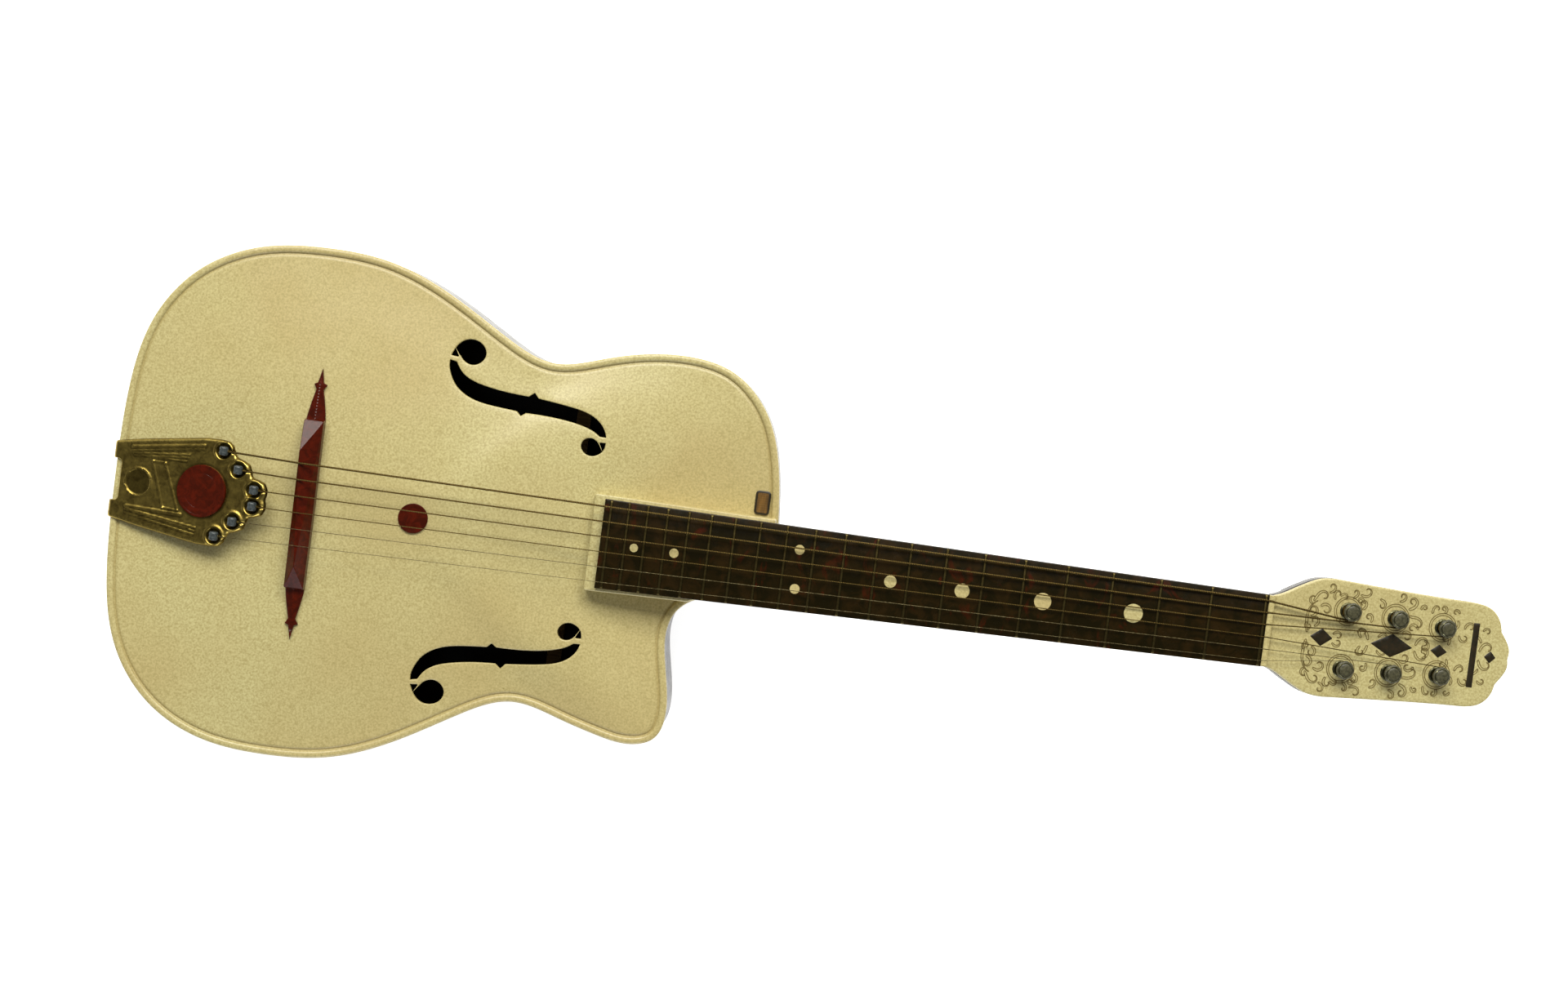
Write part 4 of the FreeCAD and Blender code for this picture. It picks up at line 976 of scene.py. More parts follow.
def make_bridge():
    """The long foot: a barbed plan whose back is a ridge, lower by a tenth of the distance from its middle
    line times a slope, over a foot that follows the arch; on it stands the faceted saddle."""
    half = [(-7.0, 0.0), (-6.6, 57.0), (-5.9, 62.0), (-4.4, 70.0), (-2.4, 78.5), (-4.6, 82.0), (-2.0, 83.0),
            (0.0, 92.8)]
    right = [(-x, y) for x, y in reversed(half[:-1])]
    upper = half + right
    ring = upper + [(x, -y) for x, y in reversed(upper[1:-1])]
    plan = anticlockwise(even_loop(np.array(ring) + np.array([SADDLE_X, 0.0]), 0.7))

    def back(p):
        fall = np.where(np.abs(p[:, 1]) > 57.4, 0.55 * np.abs(p[:, 0] - SADDLE_X), 0.0)
        return np.column_stack([p, wing_top(p[:, 1]) - fall])

    def foot(p):
        z = np.minimum(arch_z(p[:, 0], p[:, 1]), back(p)[:, 2] - 0.4)
        return np.column_stack([p, z])
    shape = Shape()
    plate(shape, plan, [], back, foot, [(0.3, 0.0), (0.08, 0.05), (0.0, 0.12), (0.0, 1.0)], [], 1.2)
    finish_piece("barbed_bridge_foot", shape, material("oxblood"), replaces=["bridge_base"],
                 sharp=24.0)

    low_z, high_z = SADDLE_FOOT, SADDLE_TOP
    x0, x1 = SADDLE_X - 6.6, SADDLE_X + 6.6
    ridge = np.array([(ridge_x(36.0), 36.0, high_z), (ridge_x(-41.5), -41.5, high_z)])
    base = np.array([(x0, SADDLE_HALF, low_z), (x0, -SADDLE_HALF, low_z), (x1, -SADDLE_HALF, low_z),
                     (x1, SADDLE_HALF, low_z)])
    shape = Shape()
    points = np.vstack([base, ridge])
    shape.add(points, [(0, 3, 2), (0, 2, 1), (0, 4, 3), (3, 4, 5), (3, 5, 2), (2, 5, 1), (1, 5, 4), (1, 4, 0)])
    saddle = finish_piece("faceted_saddle", shape, material("oxblood"), replaces=["bridge_saddle"],
                          sharp=14.0)
    bevel = saddle.modifiers.new("worn_edges", "BEVEL")
    bevel.width = 0.25 * MM
    bevel.segments = 2
    bevel.limit_method = "ANGLE"
    bevel.angle_limit = math.radians(8.0)


# ---- tailpiece -----------------------------------------------------------------
def tail_surface(flat, depth):
    """Carries plan points on to the bent plate: along the slope as they are, then round the bend and down the
    leg by their distance past it; depth is measured into the metal along its normal."""
    q, y = flat[:, 0], flat[:, 1]
    slope = math.radians(TAIL_SLOPE)
    past = np.maximum(TAIL_BEND[0] - q, 0.0)
    arc_length = TAIL_BEND_RADIUS * (math.pi / 2.0 - slope)
    angle = math.pi / 2.0 + slope + np.minimum(past, arc_length) / TAIL_BEND_RADIUS
    normal = np.column_stack([np.cos(angle), np.sin(angle)])
    middle = TAIL_BEND - TAIL_BEND_RADIUS * np.array([-math.sin(slope), math.cos(slope)])
    bent = middle + TAIL_BEND_RADIUS * normal
    bent[:, 1] -= np.maximum(past - arc_length, 0.0)
    x = np.where(past > 0.0, bent[:, 0], q)
    z = np.where(past > 0.0, bent[:, 1], tail_z(q))
    return np.column_stack([x - depth * normal[:, 0], y, z - depth * normal[:, 1]])


def step_down(value, soft):
    """Smooth step from 0 to 1 as the value passes 0, over a width soft."""
    t = np.clip(value / soft + 0.5, 0.0, 1.0)
    return t * t * (3.0 - 2.0 * t)


def to_segment(flat, start, end):
    """Distance of plan points from a line segment."""
    start, end = np.array(start), np.array(end)
    along = end - start
    t = np.clip(((flat - start) @ along) / (along @ along), 0.0, 1.0)
    return np.linalg.norm(flat - start - t[:, None] * along, axis=1)


def tail_relief(flat, height):
    """Stamped relief over the plate and the painted light on it: round pockets with raised lips for the ball ends, a
    notch for each string, fans of ridges, a sunk roundel and a slanting plain panel with a raised frame. Painted
    shade lies in the pockets, beside the ridges and the frame, in the roundel and in a ring round the red disc; the
    ridges' tops carry painted highlights."""
    q, y = flat[:, 0], flat[:, 1]
    rise = np.zeros(len(flat))
    dark = np.zeros(len(flat))
    for bx, by in [(x, s * y0) for x, y0 in BALL_PLACES for s in (1.0, -1.0)]:
        away = np.hypot(q - bx, y - by)
        rise += 0.9 * np.exp(-((away - 6.3) / 1.2) ** 2)
        rise -= 2.0 * step_down(4.6 - away, 2.6)
        # painted shade in the middle of each ball-end pocket, under the ball end
        dark = np.maximum(dark, 0.5 * step_down(3.4 - away, 0.8))
        notch = step_down(1.0 - np.abs(y - by), 0.8) * step_down(q - bx, 1.0) * step_down(bx + 9.0 - q, 1.0)
        rise = np.where(notch > 0.0, rise * (1.0 - notch) - 0.5 * notch, rise)
    ridges = [((-126.0, 23.5), (-75.2, 30.7), 0.95), ((-126.5, 20.7), (-74.9, 28.4), 0.55),
              ((-125.5, 19.3), (-85.0, 23.1), 0.5), ((-124.4, 17.8), (-85.6, 21.1), 0.5),
              ((-111.0, 18.1), (-86.9, 18.5), 0.5),
              ((-126.6, -17.1), (-86.7, -17.9), 0.95), ((-126.4, -18.7), (-75.0, -25.3), 0.5),
              ((-126.6, -20.3), (-75.5, -27.7), 0.5), ((-126.4, -21.8), (-76.0, -30.1), 0.55),
              ((-126.4, -19.5), (-80.0, -26.0), 0.4)]
    for start, end, width in ridges:
        away = to_segment(flat, start, end)
        rise += height * (0.6 + 0.5 * width) * np.exp(-(away / (1.25 * width)) ** 2)
        # painted shade in a line along each side of a ridge, and a painted highlight (below zero) on its top
        dark = np.maximum(dark, 0.8 * np.exp(-((away - 1.9 * width) / (0.5 * width)) ** 2))
        dark -= 1.2 * np.exp(-(away / width) ** 2)
    roundel = np.hypot(q + 119.8, y)
    rise += height * np.exp(-((roundel - 9.4) / 0.7) ** 2) - 0.5 * height * step_down(8.9 - roundel, 0.8)
    # painted shade over the sunk roundel
    dark = np.maximum(dark, 0.6 * step_down(8.9 - roundel, 1.2))
    frame_corners = [(-110.7, 15.7), (-101.5, 15.4), (-89.1, -15.5), (-100.0, -15.0)]
    for start, end in zip(frame_corners, frame_corners[1:] + frame_corners[:1]):
        away = to_segment(flat, start, end)
        rise += 0.8 * height * np.exp(-(away / 0.65) ** 2)
        # painted shade in a line beside the frame
        dark = np.maximum(dark, 0.4 * np.exp(-((away - 1.1) / 0.5) ** 2))
    # painted shade in a ring just round the red disc's rim, where the disc stands on the plate
    around = np.hypot((q - MEDALLION_X), y)
    dark = np.maximum(dark, 0.7 * np.exp(-((around - 18.4) / 0.8) ** 2))
    return rise, dark


def make_tailpiece(sizes):
    """The plate is worked out flat, with its relief as a height over the plan, and then laid along the slope,
    round the bend and down the leg. Its edge is rolled down by a profile of (inset, depth)."""
    edge = [(-136.5, 26.8), (-119.3, 29.9), (-86.5, 34.6), (-74.3, 36.3), (-63.6, 36.5), (-57.7, 35.7),
            (-54.5, 33.0), (-53.1, 28.5), (-51.0, 25.7), (-46.3, 24.4), (-41.9, 22.2), (-40.2, 18.5),
            (-39.3, 14.8), (-38.4, 13.7), (-34.1, 12.7), (-29.8, 11.0), (-27.7, 7.0), (-27.6, 3.1), (-28.5, 0.0)]
    past_bend = TAIL_BEND_RADIUS * math.radians(90.0 - TAIL_SLOPE)
    bend_z = TAIL_BEND[1] - TAIL_BEND_RADIUS * math.cos(math.radians(TAIL_SLOPE))
    leg_end = TAIL_BEND[0] - past_bend - (bend_z - TAIL_FOOT_Z)
    foot_top = TAIL_BEND[0] - past_bend - (bend_z - 58.0)
    leg = [(leg_end, 24.0), (leg_end + 3.0, 26.4), (-150.0, 26.4)]
    half = leg + edge
    plan = soften([(x, -y) for x, y in half] + list(reversed(half[:-1])), 0.5, 1.1)
    window = soften(rounded_box(foot_top, -133.4, -14.3, 14.3, 3.0), 0.6, 0.6)
    height = sizes.emboss_height / MM
    rolled = [(2.0, 0.0), (1.5, 0.08), (1.0, 0.3), (0.55, 0.75), (0.2, 1.4), (0.0, 2.2), (0.5, 2.6), (1.1, 2.3),
              (2.0, 1.6)]

    def surface(flat, depth):
        return tail_surface(flat, depth - tail_relief(flat, height)[0])

    shape = Shape()
    # the tarnish list holds each row's painted light: the relief's painted shade and highlights, and the rolled
    # edge's own
    rows, tarnish = [], []
    for distance, depth in rolled:
        flat = inset(plan, distance)
        rows.append(surface(flat, depth))
        # painted shade on the rolled edge's turned-down rows, deeper than 0.7 mm, and a painted highlight on its top
        # rows
        tarnish.append(tail_relief(flat, height)[1] + (0.4 if depth > 0.7 else -0.5))
    shape.grid(rows, wear=np.clip(tarnish, -1.0, 1.0))
    shape.grid([surface(inset(window, d), k) for d, k in [(-0.8, 0.0), (-0.2, 0.25), (0.0, 0.8), (0.0, 1.3),
                                                        (-0.4, 1.6)]])
    shape.cover(inset(plan, 2.0), [inset(window, -0.8)], 0.75, lambda p: surface(p, 0.0),
                lambda p: tail_relief(p, height)[1])
    shape.cover(inset(plan, 2.0), [inset(window, -0.4)], 1.8, lambda p: surface(p, 1.6))
    finish_piece("stamped_tailpiece", shape, material("brass"), replaces=["tailpiece_plate"],
                 sharp=60.0)


def slotted_disc(shape, radius, height, width, carry, count=36):
    """A screw's head: a low dome, its radius and height following a quarter ellipse, with one straight slot
    cut across it by lowering the points near its middle line; carry takes it to its place."""
    outline = circle((0.0, 0.0), radius, count)

    def dome(p, share=0.92):
        away = np.clip(np.hypot(p[:, 0], p[:, 1]) / radius, 0.0, 1.0)
        z = height * (0.35 + 0.65 * np.sqrt(1.0 - share * away ** 2))
        slot = step_down(width / 2.0 - np.abs(p[:, 1]), 0.18)
        return carry(np.column_stack([p, z - 0.6 * height * slot]))
    shape.cover(outline, [], radius / 9.0, dome)
    shape.grid([dome(outline), carry(np.column_stack([outline, np.zeros(count)]))])
    shape.cover(outline, [], radius / 2.0, lambda p: carry(np.column_stack([p, np.zeros(len(p))])))


def make_tailpiece_screws():
    """Two slotted heads on the foot, facing the tail."""
    shape = Shape()
    for y in (-19.0, 19.0):
        def carry(p, y=y):
            return np.column_stack([-139.55 - p[:, 2], y + p[:, 0], 50.0 + p[:, 1]])
        slotted_disc(shape, 3.6, 1.4, 0.9, carry)
    finish_piece("tail_screw_heads", shape, material("nickel"), replaces=["tailpiece_screws"])


def make_medallion():
    """A turned disc on the tailpiece's slope: a raised rim, a shallow ring and a slightly domed middle."""
    profile = [(0.01, -0.3), (17.4, -0.3), (17.9, 0.2), (17.9, 1.5), (17.6, 1.9), (16.9, 2.0), (16.3, 1.75),
               (15.7, 1.6), (12.4, 1.65), (12.0, 1.5), (11.6, 1.65), (6.0, 1.8), (0.01, 1.85)]
    rows = turned_about_y(lathe(profile, 96), np.array([MEDALLION_X, 0.0, tail_z(MEDALLION_X)]), -TAIL_SLOPE)
    shape = Shape()
    shape.grid(rows)
    shape.ends(rows)
    finish_piece("tailpiece_red_disc", shape, material("oxblood"), replaces=["tailpiece_medallion"])


# ---- small pieces on the soundboard --------------------------------------------
def make_soundboard_disc():
    """A turned button let on to the arch: a rounded rim round a shallow dish."""
    x, radius, top = 70.9, 10.15, high("soundboard_disc")[2]
    profile = [(0.01, -2.6), (radius, -2.6), (radius, -0.5), (radius - 0.15, -0.15), (radius - 0.6, 0.0),
               (radius - 1.3, -0.12), (radius - 1.8, -0.25), (4.0, -0.2), (0.01, -0.18)]
    rows = lathe(profile, 72) + np.array([x, 0.0, top])
    shape = Shape()
    shape.grid(rows)
    shape.ends(rows)
    finish_piece("red_button", shape, material("oxblood"), replaces=["soundboard_disc"])


def make_badge():
    """A rounded label: a dark frame, and an amber face let in with fine raised bars across it."""
    top = high("badge")[2]
    loop = rounded_box(299.0, 309.4, 32.4, 48.8, 2.4)
    face = even_loop(inset(loop, 1.5), 0.4)
    shape = Shape()

    def foot(p):
        return np.column_stack([p, arch_z(p[:, 0], p[:, 1]) - 0.3])
    plate(shape, even_loop(loop, 0.5), [], level(top), foot, [(0.5, 0.0), (0.15, 0.1), (0.0, 0.35), (0.0, 1.0)],
          [], 1.5)
    finish_piece("badge_frame", shape, material("lacquer"), replaces=["badge"])
    shape = Shape()

    def barred(p):
        wave = 0.08 * np.abs(np.sin(p[:, 1] * math.pi / 1.6))
        return np.column_stack([p, top + 0.02 + wave])
    plate(shape, face, [], barred, level(top - 0.1), [(0.3, 0.0), (0.0, 0.3), (0.0, 1.0)], [], 0.4)
    finish_piece("badge_face", shape, material("amber"))


# ---- head ----------------------------------------------------------------------
def make_head_plate():
    """The cream face: the head's outline with round holes for the bushings, its edge turned over by a quarter
    round."""
    holes = [circle(post_place(index), 5.05, 40) for index in range(STRINGS)]
    shape = Shape()
    plate(shape, head_outline(0.9), holes, head_level(0.0), head_level(-PLATE_THICKNESS),
          [(1.1, 0.0), (0.6, 0.03), (0.2, 0.14), (0.0, 0.36), (0.0, 1.0)],
          [(-0.3, 0.0), (0.0, 0.1), (0.0, 1.0)], 2.6)
    finish_piece("head_face_plate", shape, material("cream"), replaces=["head_plate"],
                 sharp=45.0)


def make_head_cover():
    """The rear cover: the head's outline from behind the nut on, with a hole for each knob's bushing."""
    low_w = -HEAD_DEPTH - COVER_THICKNESS
    outline = head_outline(1.0)
    outline = outline[outline[:, 0] >= 8.0]
    holes = []
    for index in range(STRINGS):
        u, v = post_place(index)
        holes.append(circle((u + 14.0, v), 4.25, 32))
    shape = Shape()
    plate(shape, outline, holes, head_level(-HEAD_DEPTH), head_level(low_w),
          [(0.0, 0.0), (0.0, 0.5), (0.25, 0.8), (0.7, 0.95), (1.2, 1.0)], [(0.0, 0.0), (0.0, 0.9), (-0.25, 1.0)],
          5.0, 3.0)
    finish_piece("head_rear_cover", shape, material("tortoise"), replaces=["head_cover"],
                 sharp=45.0)


def make_head_inlays():
    """Plain lozenges down the middle of the face and a cross bar, each with a softened edge."""
    shape = Shape()
    loops = [np.array([(u - a, 0.0), (u, -b), (u + a, 0.0), (u, b)])
             for u, a, b in ((36.0, 8.0, 6.0), (86.0, 15.0, 8.0), (120.0, 6.0, 4.5), (157.0, 4.2, 4.2))]
    loops.append(np.array([(142.6, -22.0), (147.0, -22.0), (147.0, 22.0), (142.6, 22.0)]))
    for loop in loops:
        plate(shape, soften(loop, 0.3, 0.3), [], head_level(0.28), head_level(-0.05),
              [(0.25, 0.0), (0.0, 0.5), (0.0, 1.0)], [], 2.0)
    finish_piece("head_dark_inlays", shape, material("lacquer"), replaces=["head_inlays"])


def curl(place, heading, length, bend_start, bend_end, width):
    """Outline of a scroll. Its middle line's heading is the first heading plus the bend summed along it, and
    the bend grows evenly from end to end; the sides stand apart by a width that falls to the tip."""
    s = np.linspace(0.0, 1.0, 46)
    turn = np.radians(heading + length * (bend_start * s + (bend_end - bend_start) * s * s / 2.0))
    step = length / 45.0
    u = place[0] + np.concatenate([[0.0], np.cumsum(np.cos(turn[:-1]) * step)])
    v = place[1] + np.concatenate([[0.0], np.cumsum(np.sin(turn[:-1]) * step)])
    gap = width * (0.35 + 0.65 * np.sin(math.pi * s ** 0.6)) * (1.0 - 0.55 * s)
    left = np.column_stack([u - gap * np.sin(turn), v + gap * np.cos(turn)])
    right = np.column_stack([u + gap * np.sin(turn), v - gap * np.cos(turn)])
    return np.vstack([left, right[::-1], left[:1]])


def make_engraving(sizes):
    """Brown scrollwork as fine raised lines: two rings round each post, and curls between them, the same on
    both sides of the middle."""
    half = sizes.engraving_width / MM / 2.0
    lines = []
    for index in range(STRINGS):
        for radius in (9.7, 8.3):
            lines.append(arc(post_place(index), radius, 0.0, 360.0, 73))
    # place, first heading in degrees, length, bend at the start and at the end in degrees per mm, half width
    curls = [((25.5, 2.5), 100, 24, 0.5, -7, 1.0), ((27.5, 24.0), 60, 18, 4, -34, 0.9),
             ((26.5, 22.0), 150, 8, -14, -34, 0.7), ((27.0, 13.5), 10, 14, 10, 30, 0.9),
             ((24.6, 9.0), 230, 10, 16, 46, 0.8), ((30.0, 7.0), 20, 13, 12, 34, 0.8),
             ((33.0, 21.0), 40, 15, -9, -30, 0.9), ((42.5, 26.5), 120, 11, -4, -44, 0.8),
             ((46.0, 29.0), 60, 9, -12, -46, 0.7), ((55.0, 28.6), 40, 10, -6, 60, 0.8),
             ((63.0, 26.0), 100, 10, 8, 60, 0.8), ((62.5, 22.0), 30, 12, 8, 44, 0.8),
             ((69.0, 2.0), 110, 14, -3, 30, 0.9), ((69.4, 14.0), 60, 12, 8, 46, 0.8),
             ((64.0, 3.0), 140, 12, -10, -40, 0.8), ((95.0, 25.6), 15, 18, 3, 36, 1.0),
             ((96.0, 21.0), -10, 16, 6, -32, 0.9), ((104.0, 26.5), 95, 9, -14, -60, 0.8),
             ((112.0, 25.0), 80, 10, 6, -52, 0.8), ((121.0, 26.0), 50, 10, 10, 56, 0.8),
             ((103.0, 2.0), 75, 16, -3, -30, 0.9), ((103.5, 13.0), 120, 12, 6, 40, 0.9),
             ((109.0, 6.0), -20, 14, -8, -34, 0.8), ((126.0, 5.0), 60, 13, 8, 40, 0.9),
             ((131.0, 22.0), -60, 12, -8, -40, 0.8), ((131.5, 27.0), 110, 8, 12, 56, 0.7),
             ((149.0, 3.0), 75, 16, -2, -30, 0.9), ((149.5, 9.0), 110, 12, 4, 40, 0.8),
             ((150.0, 17.0), 60, 9, -10, -50, 0.7), ((38.0, 30.5), 20, 12, 4, 44, 0.7),
             ((60.0, 31.5), -20, 14, 3, 34, 0.8), ((74.0, 30.0), -10, 12, -5, -44, 0.8),
             ((76.0, 4.5), 60, 12, -6, -44, 0.7), ((93.0, 9.6), 30, 13, -10, -34, 0.8),
             ((88.0, 30.2), 10, 12, 5, 46, 0.8), ((133.0, 12.0), -80, 12, 8, 38, 0.8),
             ((136.5, 17.0), 80, 13, -6, -38, 0.8), ((44.0, 3.0), 50, 11, -8, -42, 0.7)]
    for place, heading, length, first, last, width in curls:
        outline = curl(place, heading, length, first, last, width)
        lines.append(outline)
        lines.append(outline * np.array([1.0, -1.0]))
    shape = Shape()
    for line in lines:
        rows = strip_rows(np.column_stack([line, np.full(len(line), 0.02)]), half, 0.05)
        rows = on_head(rows)
        shape.grid(rows)
        shape.ends(rows)
    finish_piece("engraved_scrollwork", shape, material("engraving"), merge=False)


def make_head_screws():
    """Four slotted heads that hold the rear cover."""
    shape = Shape()
    low_w = -HEAD_DEPTH - COVER_THICKNESS
    for u in (28.0, 69.4, 103.6, 150.0):
        def carry(p, u=u):
            return on_head(np.column_stack([u + p[:, 0], -p[:, 1], low_w - p[:, 2]]))
        slotted_disc(shape, 2.4, 0.7, 0.6, carry, 28)
    finish_piece("rear_screw_heads", shape, material("nickel"), replaces=["head_screws"])


def make_posts():
    """A turned cap over each post: a rolled rim, a shallow waist and a low dome, squashed by eight soft
    flats."""
    profile = [(3.6, 8.1), (5.6, 8.1), (6.2, 8.5), (6.35, 9.2), (6.1, 9.8), (5.5, 10.1), (4.7, 10.2), (4.4, 10.5),
               (3.4, 10.8), (2.0, 10.95), (0.01, 11.0)]
    for index in range(STRINGS):
        u, v = post_place(index)
        rows = on_head(lathe(profile, 48, 8, 0.05) + np.array([u, v, 0.0]))
        shape = Shape()
        shape.grid(rows)
        shape.ends(rows)
        finish_piece("post_cap_%d" % (index + 1), shape, material("cap"), body="post_%d" % (index + 1),
                     sharp=50.0)
    finish_nodes(["post_%d" % (n + 1) for n in range(STRINGS)], "nickel")


def make_bushings():
    """Flanged rings turned from one profile: the posts' on the face, the knobs' on the rear."""
    shape = Shape()
    face = [(3.56, -3.5), (5.0, -3.5), (5.0, 0.0), (5.7, 0.0), (5.75, 0.3), (5.4, 0.75), (4.7, 0.95), (3.9, 0.9),
            (3.56, 0.6)]
    for index in range(STRINGS):
        u, v = post_place(index)
        shape.grid(on_head(lathe(face, 40) + np.array([u, v, 0.0])), along=True)
    finish_piece("face_bushings", shape, material("nickel"), replaces=["post_bushings"])
    shape = Shape()
    rear = [(2.56, -13.5), (4.2, -13.5), (4.2, -16.9), (3.9, -17.4), (3.2, -17.6), (2.56, -17.4)]
    for index in range(STRINGS):
        u, v = post_place(index)
        shape.grid(on_head(lathe(rear, 36) + np.array([u + 14.0, v, 0.0])), along=True)
    finish_piece("rear_bushings", shape, material("nickel"), replaces=["knob_bushings"])


def make_knobs(sizes):
    """Turned and fluted: the profile's radius is trimmed by twelve cosine flutes; a dished end carries a
    button."""
    profile = [(2.6, -18.4), (5.6, -18.4), (7.4, -18.9), (8.6, -20.0), (9.0, -21.6), (9.0, -27.2), (8.6, -28.8),
               (7.6, -29.7), (6.2, -30.0), (5.2, -29.6), (3.4, -29.3), (2.4, -29.6), (0.01, -29.8)]
    for index in range(STRINGS):
        u, v = post_place(index)
        rows = on_head(lathe(profile, 96, 12, sizes.flute_depth) + np.array([u + 14.0, v, 0.0]))
        shape = Shape()
        shape.grid(rows)
        shape.ends(rows)
        finish_piece("tuning_knob_%d" % (index + 1), shape, material("cream"), body="knob_%d" % (index + 1),
                     replaces=["knob_%d" % (index + 1)], sharp=55.0)
    finish_nodes(["knob_shaft_%d" % (n + 1) for n in range(STRINGS)], "nickel")


# ---- stage ----------------------------------------------------------------------
def make_floor():
    """A pale sheet under the guitar, wide enough to fill every view."""
    made, tree = begin("pale_studio_floor")
    tone = add(tree, "ShaderNodeMix", {0: patches(tree, 700.0, 0.3, 0.7), 6: linear("#f6f6f4"),
                                       7: linear("#f1f1ef")}, data_type="RGBA").outputs[2]
    shader = add(tree, "ShaderNodeBsdfPrincipled", {"Base Color": tone, "Roughness": 0.9,
                                                    "Emission Color": (1.0, 1.0, 1.0, 1.0),
                                                    "Emission Strength": 0.9})
    add(tree, "ShaderNodeOutputMaterial", {"Surface": shader.outputs[0]})
    mesh = bpy.data.meshes.new("floor_sheet")
    size = 6.0
    mesh.from_pydata([(-size, -size, 0.0), (size, -size, 0.0), (size, size, 0.0), (-size, size, 0.0)], [],
                     [(0, 1, 2, 3)])
    mesh.materials.append(made)
    floor = bpy.data.objects.new("floor_sheet", mesh)
    bpy.context.scene.collection.objects.link(floor)
    floor.location = (0.26, 0.0, 0.0)


def area_light(name, place, target, width, height, power, colour):
    """A softbox of width by height in metres, turned to face its target."""
    data = bpy.data.lights.new(name, "AREA")
    data.shape = "RECTANGLE"
    data.size = width
    data.size_y = height
    data.energy = power
    data.color = linear(colour)[:3]
    lamp = bpy.data.objects.new(name, data)
    bpy.context.scene.collection.objects.link(lamp)
    lamp.location = place
    lamp.rotation_euler = (Vector(target) - Vector(place)).to_track_quat("-Z", "Y").to_euler()


def make_lights(stage):
    """One wide softbox over the bass side, a weak low one opposite, and a dim even sky."""
    area_light("key_softbox", (0.4, 3.6, 3.9), (0.4, 0.0, 0.08), 6.0, 2.4, stage.key_power, "#fffdf6")
    area_light("fill_softbox", (0.2, -2.3, 0.75), (0.2, 0.0, 0.08), 1.2, 1.2, stage.key_power * 0.05, "#f8fbff")
    world = bpy.data.worlds.new("pale_sky")
    world.use_nodes = True
    world.node_tree.nodes.clear()
    sky = add(world.node_tree, "ShaderNodeBackground", {"Color": linear("#fbfcfa"), "Strength": stage.sky_strength})
    add(world.node_tree, "ShaderNodeOutputWorld", {"Surface": sky.outputs[0]})
    bpy.context.scene.world = world


def make_camera():
    """Nearly straight over the fretboard's plane, two metres up, turned a little about each axis."""
    turn = Matrix.Identity(3)
    for axis, degrees in zip("XYZ", CAMERA_TURNS):
        turn = turn @ Matrix.Rotation(math.radians(degrees), 3, axis)
    back = turn.transposed()
    place = back @ Vector(CAMERA_PLACE) + Vector((0.0, 0.0, BOARD_TOP))
    data = bpy.data.cameras.new("studio_camera")
    data.lens = CAMERA_LENS
    data.sensor_width = CAMERA_SENSOR
    data.clip_end = 50.0
    camera = bpy.data.objects.new("studio_camera", data)
    bpy.context.scene.collection.objects.link(camera)
    camera.matrix_world = Matrix.Translation(place * MM) @ back.to_4x4()
    bpy.context.scene.camera = camera


# ---- add-on ---------------------------------------------------------------------
class GuitarSizes(bpy.types.PropertyGroup):
    """Sizes of the finer relief."""
    bead_height: bpy.props.FloatProperty(name="Rim bead", description="Height of the bead round the soundboard",
                                         default=0.8 * MM, min=0.0, unit="LENGTH", subtype="DISTANCE")
    groove_depth: bpy.props.FloatProperty(name="Rim groove", description="Depth of the groove inside the bead",
                                          default=0.9 * MM, min=0.0, unit="LENGTH", subtype="DISTANCE")
    hole_lip: bpy.props.FloatProperty(name="Sound hole lip", description="Rounding of the sound holes' edges",
                                      default=0.7 * MM, min=0.0, unit="LENGTH", subtype="DISTANCE")
    dot_rise: bpy.props.FloatProperty(name="Dot rise", description="Height of the position dots over the board",
                                      default=0.12 * MM, min=0.0, unit="LENGTH", subtype="DISTANCE")
    emboss_height: bpy.props.FloatProperty(name="Tailpiece relief", description="Height of the stamped ridges",
                                           default=0.65 * MM, min=0.0, unit="LENGTH", subtype="DISTANCE")
    engraving_width: bpy.props.FloatProperty(name="Engraved line", description="Width of the head's brown lines",
                                             default=0.62 * MM, min=0.0, unit="LENGTH", subtype="DISTANCE")
    flute_depth: bpy.props.FloatProperty(name="Knob flutes", description="Depth of the flutes, as a part of the "
                                         "knob's radius", default=0.07, min=0.0, max=0.3, subtype="FACTOR")


def colour_property(name, description, code):
    """One colour that a user may change; its default is a hex value turned linear."""
    return bpy.props.FloatVectorProperty(name=name, description=description, default=linear(code), size=4,
                                         min=0.0, max=1.0, subtype="COLOR")


class GuitarColours(bpy.types.PropertyGroup):
    """Colours of the plastics and the brass."""
    cream: colour_property("Cream", "Soundboard, head face and nut", "#cdc48c")
    cream_faded: colour_property("Cream, faded", "Broad areas where the cream has yellowed", "#c4b37b")
    cream_grain: colour_property("Cream, grain", "Fine mottle in the cream", "#aa9b64")
    board_ground: colour_property("Marbled ground", "Darkest tone of the marbled plastic", "#171203")
    board_cloud: colour_property("Marbled cloud", "Brown clouds in the marbled plastic", "#271b07")
    board_flame: colour_property("Marbled flame", "Red flames in the marbled plastic", "#4a1606")
    oxblood: colour_property("Oxblood", "Bridge, saddle and discs", "#3c0f03")
    oxblood_swirl: colour_property("Oxblood swirl", "Lighter swirls in the red plastic", "#521505")
    brass: colour_property("Brass", "Tailpiece where it is clean", "#a8924a")
    brass_tarnish: colour_property("Brass tarnish", "Tailpiece where it has tarnished", "#7c6a34")


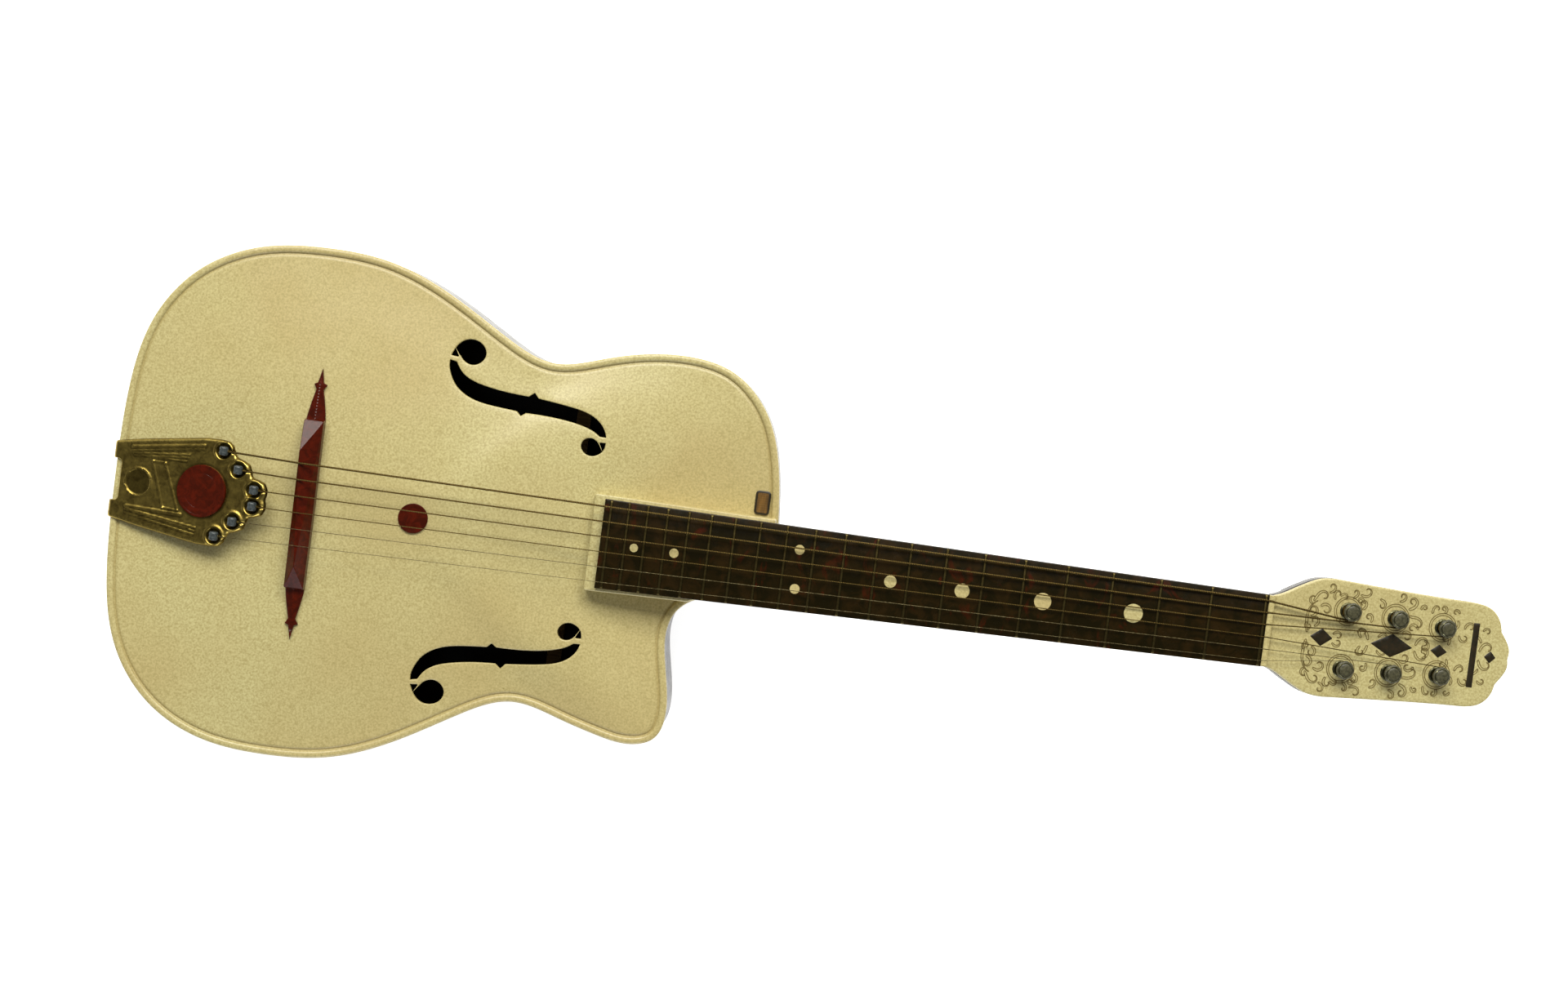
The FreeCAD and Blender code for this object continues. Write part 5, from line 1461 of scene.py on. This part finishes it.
class GuitarStage(bpy.types.PropertyGroup):
    """Lights of the stage."""
    key_power: bpy.props.FloatProperty(name="Key light", description="Power of the large softbox", default=430.0,
                                       min=0.0, unit="POWER")
    sky_strength: bpy.props.FloatProperty(name="Sky", description="Strength of the even light all round",
                                          default=0.16, min=0.0)


class GUITAR_OT_soundboard(bpy.types.Operator):
    """Make the arched soundboard with its bead, groove and sound holes"""
    bl_idname = "guitar.soundboard"
    bl_label = "Soundboard"

    def execute(self, context):
        make_soundboard(context.scene.guitar_sizes)
        return {"FINISHED"}


class GUITAR_OT_body(bpy.types.Operator):
    """Make the hollow back and sides, and finish the blocks, braces and bolts inside"""
    bl_idname = "guitar.body"
    bl_label = "Back, sides and inside"

    def execute(self, context):
        make_body_shell()
        finish_nodes(["neck_block", "tail_block", "top_braces", "back_braces"], "spruce")
        finish_nodes(["neck_bolts", "neck_bar"], "steel")
        return {"FINISHED"}


class GUITAR_OT_neck(bpy.types.Operator):
    """Make the neck with the head's walls, and the platform on the body"""
    bl_idname = "guitar.neck"
    bl_label = "Neck and platform"

    def execute(self, context):
        make_neck()
        make_riser()
        return {"FINISHED"}


class GUITAR_OT_fretboard(bpy.types.Operator):
    """Make the fretboard"""
    bl_idname = "guitar.fretboard"
    bl_label = "Fretboard"

    def execute(self, context):
        make_fretboard()
        return {"FINISHED"}


class GUITAR_OT_frets(bpy.types.Operator):
    """Make the fret crowns and the position dots"""
    bl_idname = "guitar.frets"
    bl_label = "Frets and dots"

    def execute(self, context):
        make_frets()
        make_dots(context.scene.guitar_sizes)
        return {"FINISHED"}


class GUITAR_OT_nut(bpy.types.Operator):
    """Make the slotted nut"""
    bl_idname = "guitar.nut"
    bl_label = "Nut"

    def execute(self, context):
        make_nut()
        return {"FINISHED"}


class GUITAR_OT_bridge(bpy.types.Operator):
    """Make the bridge foot and its saddle"""
    bl_idname = "guitar.bridge"
    bl_label = "Bridge"

    def execute(self, context):
        make_bridge()
        return {"FINISHED"}


class GUITAR_OT_tailpiece(bpy.types.Operator):
    """Make the stamped tailpiece, its screws and its red disc"""
    bl_idname = "guitar.tailpiece"
    bl_label = "Tailpiece"

    def execute(self, context):
        make_tailpiece(context.scene.guitar_sizes)
        make_tailpiece_screws()
        make_medallion()
        return {"FINISHED"}


class GUITAR_OT_strings(bpy.types.Operator):
    """Make the six strings with their ball ends and their turns on the posts"""
    bl_idname = "guitar.strings"
    bl_label = "Strings"

    def execute(self, context):
        make_strings()
        make_ball_ends()
        make_windings()
        return {"FINISHED"}


class GUITAR_OT_ornaments(bpy.types.Operator):
    """Make the red button and the badge on the soundboard"""
    bl_idname = "guitar.ornaments"
    bl_label = "Button and badge"

    def execute(self, context):
        make_soundboard_disc()
        make_badge()
        return {"FINISHED"}


class GUITAR_OT_head(bpy.types.Operator):
    """Make the head's face, inlays, scrollwork, rear cover and screws"""
    bl_idname = "guitar.head"
    bl_label = "Head"

    def execute(self, context):
        make_head_plate()
        make_head_inlays()
        make_engraving(context.scene.guitar_sizes)
        make_head_cover()
        make_head_screws()
        return {"FINISHED"}


class GUITAR_OT_tuners(bpy.types.Operator):
    """Make the post caps, the bushings and the tuning knobs"""
    bl_idname = "guitar.tuners"
    bl_label = "Tuners"

    def execute(self, context):
        make_posts()
        make_bushings()
        make_knobs(context.scene.guitar_sizes)
        return {"FINISHED"}


class GUITAR_OT_stage(bpy.types.Operator):
    """Set the floor, the lights and the camera"""
    bl_idname = "guitar.stage"
    bl_label = "Stage"

    def execute(self, context):
        make_floor()
        make_lights(context.scene.guitar_stage)
        make_camera()
        context.scene.view_settings.view_transform = "Standard"
        context.scene.view_settings.look = "None"
        return {"FINISHED"}


OPERATORS = (GUITAR_OT_soundboard, GUITAR_OT_body, GUITAR_OT_neck, GUITAR_OT_fretboard, GUITAR_OT_frets,
             GUITAR_OT_nut, GUITAR_OT_bridge, GUITAR_OT_tailpiece, GUITAR_OT_strings, GUITAR_OT_ornaments,
             GUITAR_OT_head, GUITAR_OT_tuners, GUITAR_OT_stage)


class GUITAR_PT_pieces(bpy.types.Panel):
    """Lists the settings and the operators"""
    bl_idname = "GUITAR_PT_pieces"
    bl_label = "Archtop Guitar"
    bl_space_type = "VIEW_3D"
    bl_region_type = "UI"
    bl_category = "Guitar"

    def draw(self, context):
        for group in (context.scene.guitar_sizes, context.scene.guitar_colours, context.scene.guitar_stage):
            box = self.layout.box()
            for name in group.__annotations__:
                box.prop(group, name)
        column = self.layout.column(align=True)
        for operator in OPERATORS:
            column.operator(operator.bl_idname)


CLASSES = (GuitarSizes, GuitarColours, GuitarStage) + OPERATORS + (GUITAR_PT_pieces,)


def register():
    for item in CLASSES:
        bpy.utils.register_class(item)
    bpy.types.Scene.guitar_sizes = bpy.props.PointerProperty(type=GuitarSizes)
    bpy.types.Scene.guitar_colours = bpy.props.PointerProperty(type=GuitarColours)
    bpy.types.Scene.guitar_stage = bpy.props.PointerProperty(type=GuitarStage)


def unregister():
    del bpy.types.Scene.guitar_stage
    del bpy.types.Scene.guitar_colours
    del bpy.types.Scene.guitar_sizes
    for item in reversed(CLASSES):
        bpy.utils.unregister_class(item)


def main():
    register()
    for operator in OPERATORS:
        getattr(bpy.ops.guitar, operator.bl_idname.split(".")[1])()


if __name__ == "__main__":
    main()
